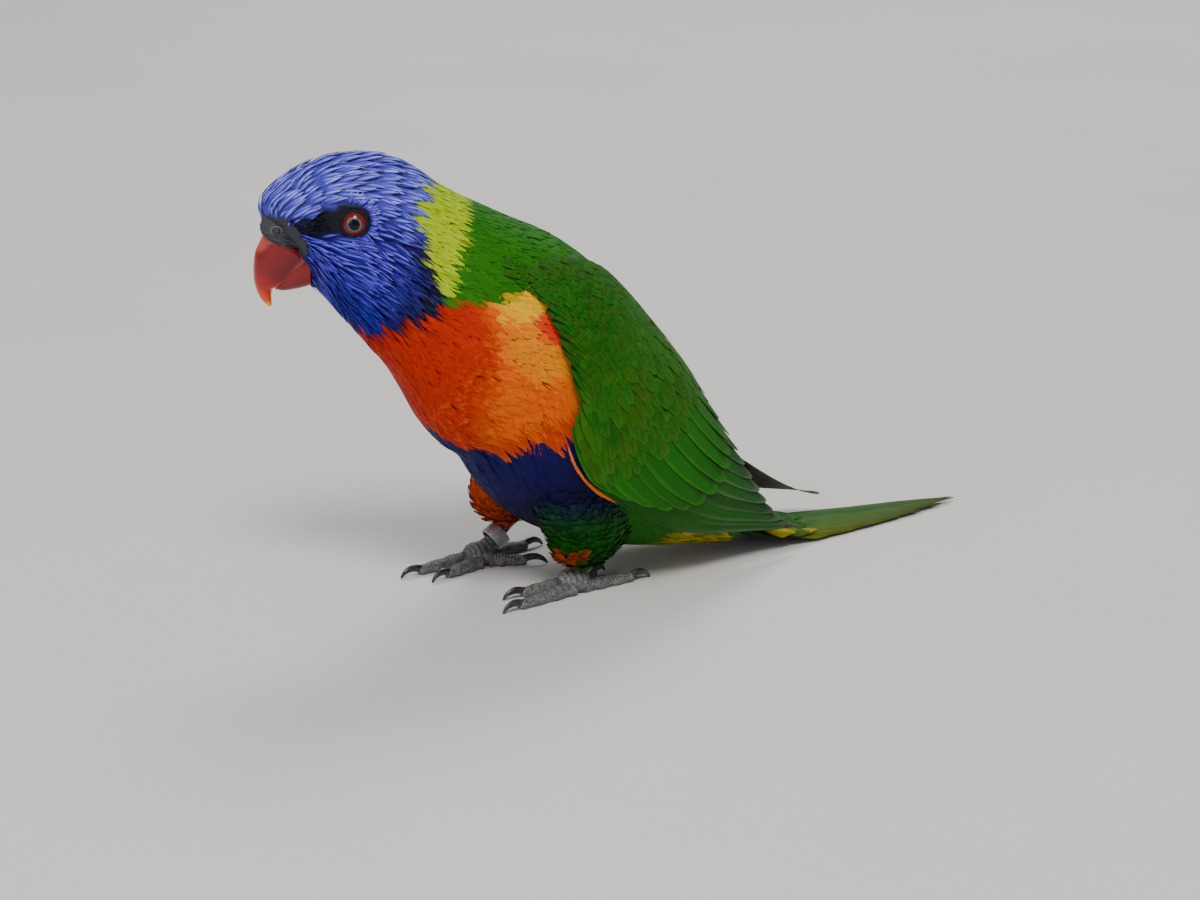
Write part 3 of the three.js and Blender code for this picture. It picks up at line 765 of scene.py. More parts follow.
def paintHead(base, s, deg, coat):
    # the dark blue of each vane, and the paler blue of the streak that the finish draws down its middle
    streak = mix(plumes["crownStreak"], plumes["cheekStreak"], soft(deg, 58, 24))
    streak = mix(streak, plumes["throatStreak"], soft(deg, 108, 50) * soft(s, 2.4, 2))
    streak = mix(streak, plumes["hind"], soft(s, 6.3, 0.7) * soft(deg, 70, 16) * 0.85)
    streak = mix(streak, base, draw.uniform(0, 0.75, len(s)) ** 2)
    streak = mix(streak, plumes["lore"] * 1.4, loreShare(s, deg))
    streak = mix(streak, base, soft(s, blueEdge(deg) - 0.12, 0.2))
    base, streak = vary(base, 0.18)[:, None, None], vary(streak, 0.16)[:, None, None]
    middle = soft(coat["u"], 0.35, 0.4) * (1 - 0.5 * soft(coat["u"], 0.95, 0.15)) + 0 * coat["v"]
    return {"plumage": base, "streak": mix(base, streak, middle)}


def paintBody(base, s, deg, coat):
    # darker at the root, a little lighter at the fringe
    tone = 0.84 + 0.2 * soft(coat["u"], 0.6, 0.6) - 0.05 * np.abs(coat["v"]) ** 2
    return vary(base, 0.07)[:, None, None] * tone[..., None]


def paintBreast(base, s, deg, coat):
    # fringes of yellow or red, and here and there a dark bar low on the front
    base = vary(base, 0.05)
    warm = mix(plumes["orange"], plumes["red"], draw.uniform(0, 1, len(s)))
    isWarm = (base[:, 0] > 3 * base[:, 2]) & (base[:, 0] > 0.25)
    rim = soft(np.maximum(coat["u"], 0.55 + 0.42 * np.abs(coat["v"]) * soft(coat["u"], 0.5, 0.4)), 0.9, 0.2)
    fringe = rim * ((0.12 + 0.7 * lowFront(s, deg)) * isWarm)[:, None, None]
    shown = mix(base[:, None, None], warm[:, None, None], fringe)
    barred = isWarm & (draw.uniform(0, 1, len(s)) < 0.5 * soft(deg, 140, 16) * soft(s, 8.8, 0.8))
    bar = (1 - soft(np.abs(coat["u"] - 0.84), 0.06, 0.08)) * barred[:, None, None] * 0.85
    tone = 0.84 + 0.2 * soft(coat["u"], 0.5, 0.6)
    return mix(shown * tone[..., None], plumes["bar"], bar)


def paintHairs(base, s, deg, coat):
    # fine barbs, each lighter than the feathers under it toward its tip
    light = draw.uniform(1.0, 1.55, len(s))[:, None, None]
    return base[:, None, None] * (1 + (light - 1) * soft(coat["u"], 0.6, 0.5) + 0 * coat["v"])[..., None]


def clearOfFace(s, deg):
    # no vane grows on the cere, the lids or the bare skin that touches them
    onEye = np.hypot((s - eyeSpot["hoop"]) / 0.45, (deg - eyeSpot["deg"]) / 13.8) < 1
    beforeEye = (np.abs(s - 3.72) < 0.55) & (np.abs(deg - 69) < 11.5)
    onCere = (s < 0.62) & (deg > 30) & (deg < 96)
    return ~(onEye | beforeEye | onCere)


def headShrink(s, deg):
    # smallest round the bill and on the bare band before the eye
    return np.interp(s, [0, 1.2, 3, 5], [0.55, 0.72, 0.9, 1.05]) * (1 - 0.35 * (loreShare(s, deg) > 0.3))


def headLean(s, deg):
    # cheek feathers run down and back under the eye, crown feathers a little up
    return rad(20) * soft(deg, 92, 40) * (1 - soft(s, 3.8, 2.5)) - rad(8) * (1 - soft(deg, 60, 40))


def underWing(s, deg):
    # false where the folded wing covers the body, so no vane is wasted there
    return ~((s > 10.9) & (s < 14.6) & (deg > 24) & (deg < 84 + 8 * (s - 11)))


def onHead(s, deg):
    ends = np.interp(deg, [0, 60, 87, 104, 133, 152, 180], [6.6, 6.4, 7.5, 7.4, 6.2, 5.1, 4.6])
    return clearOfFace(s, deg) & (s < ends)


def onCollar(s, deg):
    return s > np.interp(deg, [0, 60, 72, 80, 96], [6.3, 6.2, 6.5, 6.9, 7.3])


def onMantle(s, deg):
    return underWing(s, deg) & (deg < np.interp(s, [7.6, 8.5, 9.1, 11, 12], [96, 86, 70, 62, 50]))


def onBreast(s, deg):
    starts = np.interp(deg, [56, 70, 87, 93, 104, 133, 152, 180], [8.9, 8.5, 7.5, 7.4, 7.2, 6.0, 4.9, 4.5])
    top = np.interp(s, [7.5, 8.15, 8.8, 9.1, 11], [88, 78, 64, 50, 50])
    return underWing(s, deg) & (s > starts) & (deg > top)


def lowFront(s, deg):
    # where the breast's feathers grow larger and show their fringes
    return soft(deg, 104, 40) * soft(s, 8.9, 1.2)


def onFront(s, deg):
    # the breast with fewer vanes low down, where they are larger
    return onBreast(s, deg) & (draw.uniform(0, 1, len(s)) > 0.5 * lowFront(s, deg))


bodyCoats = {
    "head_coat": {"reach": (0.08, 7.5), "pitch": (3.1, 0.86), "length": 8.8, "width": 0.74,
                  "shape": smallVane, "keep": onHead, "shrink": headShrink, "lean": headLean, "stray": 0.12,
                  "paint": paintHead},
    "collar_coat": {"reach": (6.2, 8.0), "pitch": (1.8, 1.2), "length": 7, "width": 0.9, "shape": bodyVane,
                    "angles": (-rad(96), rad(96)), "keep": onCollar, "paint": paintBody},
    "mantle_coat": {"reach": (7.5, 13.2), "pitch": (2.3, 1.5), "length": 9, "width": 1.35, "shape": bodyVane,
                    "angles": (-rad(94), rad(94)), "keep": onMantle, "paint": paintBody},
    "breast_coat": {"reach": (4.5, 12.0), "pitch": (2.2, 1.55), "length": 9, "width": 1.35,
                    "shape": {**bodyVane, "loose": 0.02}, "keep": onFront,
                    "shrink": lambda s, deg: 1 + 0.5 * lowFront(s, deg), "paint": paintBreast},
    "belly_coat": {"reach": (11.6, 15.9), "pitch": (2.4, 1.7), "length": 9.5, "width": 1.5, "shape": bodyVane,
                   "keep": underWing, "paint": paintBody},
    "collar_barbs": {"reach": (6.2, 8.0), "pitch": (1.5, 0.9), "length": 4.6, "width": 0.17,
                     "shape": hairVane, "angles": (-rad(96), rad(96)), "keep": onCollar, "proud": 0.02,
                     "stray": 0.16, "paint": paintHairs},
    "mantle_barbs": {"reach": (7.5, 13.2), "pitch": (2.0, 1.1), "length": 5, "width": 0.18, "shape": hairVane,
                     "angles": (-rad(94), rad(94)), "keep": onMantle, "proud": 0.02, "stray": 0.16,
                     "paint": paintHairs},
    "breast_barbs": {"reach": (4.5, 12.0), "pitch": (1.9, 1.1), "length": 5, "width": 0.18, "shape": hairVane,
                     "keep": onBreast, "proud": 0.02, "stray": 0.16, "paint": paintHairs},
}
for name, field in bodyCoats.items():
    region = name.split("_")[0]
    slot = {"head": "head_feathers", "collar": "collar_feathers"}.get(region, "body_feathers")
    layBodyCoat(name, field, featherMaterial["head" if region == "head" else "body"], slot)


def layEyeFringe():
    # short feathers in two rings round each eye, except before it, that point away from it and back
    inRing = 34
    count = 2 * inRing
    turn = np.tile(rad(np.linspace(-104, 104, inRing)), 2) + draw.normal(0, 0.04, count)
    away = np.repeat([4.9, 6.1], inRing) + draw.normal(0, 0.15, count)
    parts = []
    for sign in signs.values():
        middleS, middleA = np.full(count, eyeSpot["hoop"]), np.full(count, sign * rad(eyeSpot["deg"]))
        perS, perA = lieOf(bodyAt, middleS, middleA)[1:]
        s, a = middleS + away * np.cos(turn) / perS, middleA + sign * away * np.sin(turn) / perA
        depth = coatDepth(s)
        size = {"length": 3.2, "width": 0.42, "lean": sign * turn * 0.62, "rootDepth": depth * 0.9,
                "tipDepth": depth * 0.2}
        parts.append(layVanes(bodyAt, s, a, size, smallVane))
    coat = dict(parts[0])
    for key in ("points", "vane", "rootS", "rootA"):
        coat[key] = np.concatenate([part[key] for part in parts])
    deg = fromBack(coat["rootA"])
    base = mix(plumes["cheek"], plumes["crown"], 1 - soft(deg, 62, 30))
    shown = paintHead(base, coat["rootS"] + 0.6, deg, coat)
    coatPiece("eye_fringe_coat", coat, shown, (bodyCoats["head_coat"]["reach"], wholeTurn),
              featherMaterial["head"], "head_feathers")


layEyeFringe()


# Thighs

def layThigh(side, foot):
    # vanes down the thigh, deep at its top where the belly's coat covers it
    at = thighAt(foot)
    t, a = scatterRoots(at, (0.4, 3.75), wholeTurn, (2.0, 1.3), rad(90))
    grow = 1 + draw.uniform(-0.15, 0.15, len(t))
    size = {"length": 8 * grow * np.interp(t, [0, 3, 4], [1, 0.9, 0.6]), "width": 1.1 * grow,
            "lean": draw.normal(0, 0.14, len(t)), "rootDepth": np.interp(t, [0, 2], [2.6, 1.6]),
            "tipDepth": np.interp(t, [0, 2], [2.0, 0.3])}
    coat = layVanes(at, t, a, size, {**bodyVane, "fray": 0.3})
    colours = vary(thighColours(foot, coat["points"][:, -1, 2]), 0.13)
    tone = 0.8 + 0.25 * soft(coat["u"], 0.5, 0.6) + 0 * coat["v"]
    coatPiece(f"thigh_coat_{side}", coat, colours[:, None, None] * tone[..., None], ((0, 4), wholeTurn),
              featherMaterial["body"], "thigh_feathers")


for side, foot in feet.items():
    layThigh(side, foot)


# Wings

# hoop, upper angle, lower angle, thickness
wingStations = {
    "left": np.array([
        (0, 46, 60, 2.2), (0.5, 34, 66, 3.2), (1, 25, 72, 4.2), (1.5, 18, 79, 5), (2, 13, 90, 6),
        (2.4, 11, 110, 6.5), (2.8, 10, 126, 6.5), (3.4, 9, 131, 6.5), (4.2, 10, 128, 6), (5, 13, 122, 5),
        (6, 22, 115, 3.6), (7, 45, 111, 2.2), (7.7, 66, 107, 1.4), (8.2, 84, 99, 0.9)], float),
}
# the far wing is the same as far as the ninth station, and longer after it
wingStations["right"] = np.vstack([wingStations["left"][:9], np.array([
    (5, 11, 121, 5), (6, 9, 112, 3.6), (7, 8, 96, 2.2), (8, 8, 70, 1.5), (9, 8, 44, 1.1),
    (9.9, 10, 24, 0.9)], float)])
wingTints = {
    "lesser": tint(24, 96, 0), "median": tint(26, 92, 0), "greater": tint(22, 96, 2),
    "scapular": tint(30, 98, 10), "edge": tint(60, 126, 24), "dark": tint(6, 42, 2),
    "secondary": tint(22, 84, 12), "primary": tint(52, 72, 56), "inner": tint(34, 32, 30),
    "pale": tint(116, 128, 96), "lining": tint(214, 104, 20), "olive": tint(70, 88, 4),
    "brown": tint(64, 54, 42),
}


def plumeFaces(count, rows, columns):
    # a grid above and a grid beneath, joined round the rim
    cells = (rows + 1) * (columns + 1)
    grid = np.arange(cells).reshape(rows + 1, columns + 1)
    top = np.stack([grid[:-1, :-1], grid[1:, :-1], grid[1:, 1:], grid[:-1, 1:]], -1).reshape(-1, 4)
    under = top[:, ::-1] + cells
    rim = np.concatenate([grid[0, ::-1], grid[1:, 0], grid[-1, 1:], grid[-2:0:-1, -1]])
    after = np.roll(rim, -1)
    wall = np.stack([after, rim, rim + cells, after + cells], -1)
    quads = np.concatenate([top, under, wall])
    shift = np.arange(count)[:, None]
    loops = (quads.ravel() + shift * 2 * cells).ravel()
    return loops, np.arange(len(quads) * count) * 4


def layPlumes(at, root, tip, plume):
    # long feathers from root to tip across the surface's own grid, bowed a little, with a keeled arch, rising
    # from rootDepth to tipDepth, then held off the surface by raise, a cubic of the way along the feather;
    # tilt lifts one edge like a roof tile's
    count, rows, columns = len(root), plume["rows"], plume["columns"]
    u = np.linspace(0, 1, rows + 1)[None, :, None] + np.zeros((count, 1, columns + 1))
    v = np.linspace(-1, 1, columns + 1)[None, None, :] + 0 * u
    run = tip - root
    perS, perA = lieOf(at, root[:, 0] + 0.6 * run[:, 0], root[:, 1] + 0.6 * run[:, 1])[1:]
    metric = np.stack([run[:, 0] * perS, run[:, 1] * perA], -1)
    length = np.linalg.norm(metric, axis=-1)
    ahead = metric / length[:, None]
    each = {key: np.broadcast_to(plume[key], (count,))[:, None, None]
            for key in ("width", "rootDepth", "tipDepth", "raise")}
    width, rootDepth, tipDepth, held = (each[key] for key in ("width", "rootDepth", "tipDepth", "raise"))
    outline = vaneOutline(u, plume["rootShare"], plume["tipShare"])
    rounding = 1 - plume["round"] * width / length[:, None, None] * np.abs(v) ** 2.5 * soft(u, 0.7, 0.6)
    along = u * length[:, None, None] * rounding
    side = width * v * outline + plume["bow"] * u * (1 - u) * 4
    ds = (along * ahead[:, 0, None, None] - side * ahead[:, 1, None, None]) / perS[:, None, None]
    da = (along * ahead[:, 1, None, None] + side * ahead[:, 0, None, None]) / perA[:, None, None]
    placeS, placeA = root[:, 0, None, None] + ds, root[:, 1, None, None] + da
    points = at(placeS, placeA)
    outward = lieOf(at, placeS, placeA)[0]
    height = (-rootDepth + (rootDepth - tipDepth) * soft(u, 0.25, 0.5) - plume["camber"] * width * v * v
              + plume["tilt"] * width * v * soft(u, 0.2, 0.4)
              + held * u ** 2 * (1 - 0.6 * u) / 0.31)
    top = points + outward * height[..., None]
    thick = plume["thick"] * (1 - 0.6 * np.abs(v)) * (1 - 0.5 * u)
    bottom = top - outward * thick[..., None]
    return {"top": top, "bottom": bottom, "u": u, "v": v, "root": root, "side": side, "along": along}


def plumePiece(name, made, topColours, underColours, span, material, slot):
    # the feathers as one piece, kept just above the floor; each side of a feather has half its bake patch
    count, rows, columns = made["top"].shape[:3]
    loops, starts = plumeFaces(count, rows - 1, columns - 1)
    points = np.stack([made["top"], made["bottom"]], 1)
    points[..., 2] = np.maximum(points[..., 2], 0.05)
    colours = np.stack([topColours, underColours], 1)
    (lowS, highS), (lowA, highA) = span
    layer = np.arange(2)[None, :, None, None]
    rootU = 0.02 + 0.95 * (made["root"][:, 0] - lowS) / (highS - lowS)
    rootV = 0.02 + 0.95 * (made["root"][:, 1] - lowA) / (highA - lowA)
    bakeU = rootU[:, None, None, None] + bakePatch * (made["u"][:, None] + 0 * layer)
    bakeV = rootV[:, None, None, None] + bakePatch * ((made["v"][:, None] + 1) / 4 + 0.5 * layer)
    vane = np.stack([made["side"][:, None] + 0 * layer, made["along"][:, None] + 0 * layer], -1)
    maps = {"vane": vane.reshape(-1, 2), "OFBake": np.stack([bakeU, bakeV], -1).reshape(-1, 2)}
    makePiece(name, points.reshape(-1, 3), loops, starts, material, slot, maps,
              {"plumage": colours.reshape(-1, 3)}, crease=rad(60))
    print(f"{name}: {count} plumes")


def wingTable(rows):
    # places on the wing: hoop, and degrees from the back
    return np.array([(h, rad(a)) for h, a in rows], float)


secondaryRoots = wingTable([(2.4, 13), (2.6, 20), (2.9, 30), (3.1, 42), (3.3, 54), (3.5, 66), (3.6, 78),
                            (3.7, 90), (3.7, 98)])
flights = {
    "left": {
        "secondaryTips": wingTable([(5.1, 16), (5.5, 24), (5.85, 34), (6.15, 45), (6.5, 56), (6.85, 67),
                                    (7.25, 78), (7.65, 87), (7.8, 94)]),
        "secondaryRoots": secondaryRoots,
        "primaryTips": wingTable([(7.75, 106), (8.1, 104.5), (8.25, 101), (8.25, 97), (8.1, 93), (7.9, 88)]),
        "primaryRoots": wingTable([(2.9, 98), (3.0, 96), (3.1, 93.5), (3.2, 91), (3.3, 88), (3.4, 85)]),
    },
    "right": {
        "secondaryTips": wingTable([(5.3, 14), (5.9, 17), (6.5, 22), (7.0, 30), (7.4, 40), (7.6, 52),
                                    (7.5, 66), (7.2, 80), (6.8, 90)]),
        "secondaryRoots": secondaryRoots,
        "primaryTips": wingTable([(6.0, 110), (6.45, 103), (6.95, 93), (7.6, 76), (8.6, 52), (9.2, 46),
                                  (9.6, 42)]),
        "primaryRoots": wingTable([(2.7, 122), (2.8, 119), (3.0, 116), (3.2, 110), (3.6, 96), (4.2, 74),
                                   (4.9, 48)]),
    },
}
greaterTips = wingTable([(4.9, 18), (5.35, 33), (5.6, 47), (5.7, 60), (5.7, 74), (5.6, 86), (5.35, 95),
                         (4.95, 100.5), (4.5, 104), (4.0, 108)])
greaterRoots = wingTable([(2.2, 16), (2.5, 27), (2.8, 38), (2.9, 50), (2.9, 62), (2.8, 74), (2.7, 82),
                          (2.6, 89), (2.5, 95), (2.5, 101)])
flightGroups = {
    "primary": {"count": 9, "width": 4.6, "top": 1.6, "low": 2.4, "rootDepth": 3.2, "tipShare": 0.4},
    "secondary": {"count": 12, "width": 5.4, "top": 0.8, "low": 1.5, "rootDepth": 3.0, "tipShare": 0.55},
    "greater": {"count": 13, "width": 4.8, "top": 0.3, "low": 0.6, "rootDepth": 2.8, "tipShare": 0.62},
}
wingSpan = ((0, 10), (-rad(140), rad(140)))


def makeArm(side, sign):
    # the arm under the feathers: a flat closed loft inside the solid, thinner than it all round
    t = np.linspace(1.4, 8.6, 60)[:, None]
    row = through(wingStations[side], t)
    across = 14
    k = np.arange(2 * across)[None, :]
    inner = k >= across
    share = np.where(inner, 2 * across - 1 - k, k) / (across - 1)
    edge = 0.3 + 0.7 * (1 - np.abs(2 * share - 1) ** 3)
    upper, lower = row[..., 1] + 6, np.minimum(row[..., 2] - 8, frontEdge(row[..., 0]) - 10)
    angle = sign * rad(upper + (lower - upper) * share)
    hoop = row[..., 0] + 0 * angle
    depth = np.where(inner, row[..., 3] * edge - 0.3, np.minimum(3.1, row[..., 3] * 0.7))
    arm = wingAt(hoop, angle) - lieOf(wingAt, hoop, angle)[0] * depth[..., None]
    points, loops, starts = tube(arm)
    colours = np.broadcast_to(wingTints["dark"], (len(points), 3))
    piece = makePiece(f"wing_arm_{side}", points, loops, starts, skinMaterial, "wing_feathers",
                      colours={"plumage": colours})
    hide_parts(f"wing_{side}")


def makeFlight(side, sign, group, tips, roots):
    # one row of long feathers, overlapping like tiles; the far wing's blade has more, wider and raised
    look = flightGroups[group]
    isBlade = (side, group) == ("right", "primary")
    step = np.linspace(0, 1, look["count"] + 4 * isBlade)
    mirror = np.array([1, sign])
    tip = through(tips, step * (len(tips) - 1)) * mirror
    root = through(roots, step * (len(roots) - 1)) * mirror
    order = 1 - step if group == "primary" else step
    plume = {"rows": 18, "columns": 6, "width": look["width"], "rootShare": 0.6, "tipShare": look["tipShare"],
             "round": 0.6, "bow": 0.7 * sign, "camber": 0.05, "thick": 0.25, "tilt": 0.075 * sign, "raise": 0,
             "rootDepth": look["rootDepth"], "tipDepth": look["top"] + (look["low"] - look["top"]) * order}
    if isBlade:
        plume.update({"width": 6, "tipShare": 0.5, "bow": 0.2 * sign, "raise": 3.2 * soft(step, 0.45, 0.4)})
    made = layPlumes(wingAt, root, tip, plume)
    u, v = made["u"], made["v"] * sign
    rim = soft(np.maximum(np.abs(v), soft(u, 0.97, 0.06)), 0.93, 0.14)
    inner, dark = wingTints["inner"], wingTints["dark"]
    if group == "primary":
        outer = mix(wingTints["secondary"], wingTints["primary"], soft(u, 0.78, 0.35))
        if side == "right":
            outer = mix(wingTints["primary"], wingTints["brown"], soft(u, 0.6, 0.4))
        web = mix(outer, inner, np.clip(soft(-v, 0.1, 0.4) + soft(u, 0.9, 0.15) * 0.6, 0, 1))
        top = mix(web, wingTints["pale"], rim * 0.5 * soft(u, 0.6, 0.4))
    elif group == "secondary":
        web = mix(wingTints["secondary"], dark, soft(-v, 0.1, 0.6) * 0.8)
        web = mix(web, wingTints["primary"], soft(u, 0.86, 0.3) * 0.45)
        top = mix(web, wingTints["pale"], rim * 0.4 * soft(u, 0.6, 0.4))
    else:
        web = mix(wingTints["greater"], dark, soft(-v, 0.2, 0.7) * 0.6)
        top = mix(web, wingTints["edge"], rim * 0.5 * soft(u, 0.4, 0.5))
    top = top * (1 + draw.normal(0, 0.08, len(step)))[:, None, None, None]
    beneath = mix(wingTints["brown"], wingTints["pale"], rim * 0.5)
    plumePiece(f"wing_{group}_{side}", made, top, beneath, wingSpan, featherMaterial["wing"], "wing_feathers")


def makeLining(side, sign):
    # slender orange feathers of the underside that show along the front edge
    root = wingTable([(2.7, 112.5), (2.95, 115), (3.3, 116), (3.6, 115.2)]) * (1, sign)
    tip = wingTable([(3.25, 116.3), (3.6, 116), (3.95, 114.6), (4.2, 112.8)]) * (1, sign)
    plume = {"rows": 10, "columns": 2, "width": 0.38, "rootShare": 0.5, "tipShare": 0.3, "round": 0.5,
             "bow": 0, "camber": 0.05, "thick": 0.25, "tilt": 0, "raise": 0, "rootDepth": 2.6,
             "tipDepth": 1.4}
    made = layPlumes(wingAt, root, tip, plume)
    shown = vary(np.tile(wingTints["lining"], (len(root), 1)), 0.2)[:, None, None] + 0 * made["top"]
    plumePiece(f"wing_lining_{side}", made, shown, shown, wingSpan, featherMaterial["wing"], "wing_feathers")


def backEdge(side, h):
    # the wing's outline along the back
    return np.interp(h, wingStations[side][:, 0], wingStations[side][:, 1])


def frontEdge(h):
    # the wing's outline toward the belly
    return np.interp(h, [0, 0.5, 0.94, 1.78, 2.25, 2.56, 2.85, 3.3, 3.8, 4.3, 4.6, 5.1, 5.8, 6.5],
                     [62, 67, 75.6, 88, 97.5, 107, 114, 116, 114.5, 111.5, 110, 108, 109, 112])


def wingLean(deg):
    # feathers fan out: along the back they lie straight, at the front edge they turn to the belly
    return rad(10) + rad(20) * soft(deg, 75, 60)


def makeCoverts(side, sign, name, field):
    # rows of small feathers over the wing's outer side, growing larger to the rear
    reach = tuple(sorted((sign * rad(8), sign * rad(132))))
    h, a = scatterRoots(wingAt, field["reach"], reach, field["pitch"], sign * rad(70))
    deg = np.abs(np.degrees(a))
    grow = 1 + draw.uniform(-0.12, 0.12, len(h))
    lean = wingLean(deg)
    perS, perA = lieOf(wingAt, h, a)[1:]
    tipH = h + field["length"] * np.cos(lean) / perS
    tipDeg = deg + np.degrees(field["length"] * np.sin(lean) / perA)
    margin = np.degrees(0.5 * field["width"] / perA)
    keep = (deg > backEdge(side, h) + 1) & (deg < frontEdge(h) - margin) & (tipDeg < frontEdge(tipH) - margin)
    keep &= (h > np.interp(deg, *field["startAt"])) & (h < np.interp(deg, *field["endAt"]))
    h, a, deg, grow, lean = h[keep], a[keep], deg[keep], grow[keep], lean[keep]
    # toward the shoulder and the front edge the feathers sink to the body
    sink = 2.3 * (1 - soft(h, 0.15, 1.0)) + 1.5 * soft(deg, frontEdge(h) - margin[keep], 8)
    small = 0.62 + 0.38 * soft(h, 0.5, 1.2)
    size = {"length": field["length"] * grow * small, "width": field["width"] * grow * small,
            "lean": sign * lean + draw.normal(0, 0.06, len(h)), "rootDepth": field["rootDepth"] + sink,
            "tipDepth": field["tipDepth"] + 0.85 * sink}
    coat = layVanes(wingAt, h, a, size, field["shape"])
    base = mix(wingTints["scapular"], wingTints["lesser"], soft(deg, 50, 30))
    base = mix(plumes["mantle"], base, soft(h, 0.4, 1.0))
    base = mix(base, wingTints["median"], soft(h, 2.6, 1.2))
    base = mix(base, wingTints["dark"], draw.uniform(0, 0.22, len(h)))
    base = mix(vary(base, 0.07), wingTints["olive"], draw.uniform(0, 1, len(h)) ** 2 * 0.4)
    rim = soft(np.maximum(np.abs(coat["v"]), coat["u"]), 0.88, 0.2)
    rimTint = mix(wingTints["dark"], wingTints["edge"], soft(h, 1.9, 1.2))[:, None, None]
    shown = mix(base[:, None, None], rimTint, rim * 0.35)
    tone = 0.8 + 0.24 * soft(coat["u"], 0.45, 0.7)
    coatPiece(f"wing_{name}_{side}", coat, shown * tone[..., None], wingSpan, featherMaterial["wing"],
              "wing_feathers")


wingVane = {"rows": 6, "columns": 6, "fray": 0.03, "round": 0.35, "rootShare": 0.5, "tipShare": 0.72,
            "camber": 0.07, "loose": 0.04, "rise": 2.8}
covertFields = {
    "median": {"reach": (1.4, 4.4), "pitch": (4.2, 3.6), "length": 14, "width": 3.1, "rootDepth": 2.0,
               "tipDepth": 0.02, "shape": {**wingVane, "rows": 8},
               "startAt": ([0, 40, 90, 130], [2.2, 2.1, 1.6, 1.4]),
               "endAt": ([0, 40, 90, 130], [4.1, 4.0, 3.5, 2.9])},
    "lesser": {"reach": (-0.6, 3.2), "pitch": (2.1, 1.8), "length": 8, "width": 1.75, "rootDepth": 1.9,
               "tipDepth": 0, "shape": wingVane, "startAt": ([0, 180], [-1, -1]),
               "endAt": ([0, 40, 90, 130], [2.9, 2.8, 2.2, 2.0])},
}

for side, sign in signs.items():
    makeArm(side, sign)
    for group in ("primary", "secondary"):
        makeFlight(side, sign, group, flights[side][group + "Tips"], flights[side][group + "Roots"])
    makeFlight(side, sign, "greater", greaterTips, greaterRoots)
    makeLining(side, sign)
    for name, field in covertFields.items():
        makeCoverts(side, sign, name, field)


# Tail

# x, z, half width, half thickness, arch
tailRows = np.array([
    (50, 20, 12, 8, 0), (60, 14, 14, 7.5, 1), (71, 8, 15.5, 5.6, 2), (82, 4.2, 15.5, 3.4, 2.2),
    (96, 1.9, 14.5, 2.0, 1.8), (120, 1.1, 11.5, 1.4, 1.2), (141, 0.9, 7.5, 1.1, 0.8),
    (156, 0.7, 2.2, 0.9, 0.3)])
tailTints = {"green": tint(18, 80, 2), "olive": tint(64, 66, 2), "yellow": tint(112, 104, 0),
             "dark": tint(10, 44, 6), "tip": tint(60, 66, 40)}


def tailAt(x, y):
    # the tail's upper side over x and y: a low arch between its edges, thinning to the tip
    row = np.stack([np.interp(x, tailRows[:, 0], tailRows[:, k]) for k in range(1, 5)], -1)
    share = np.clip(y / row[..., 1], -1, 1) ** 2
    z = row[..., 0] + row[..., 2] * np.sqrt(1 - 0.96 * share) + row[..., 3] * (0.5 - share)
    return np.stack(np.broadcast_arrays(x, y, z), -1)


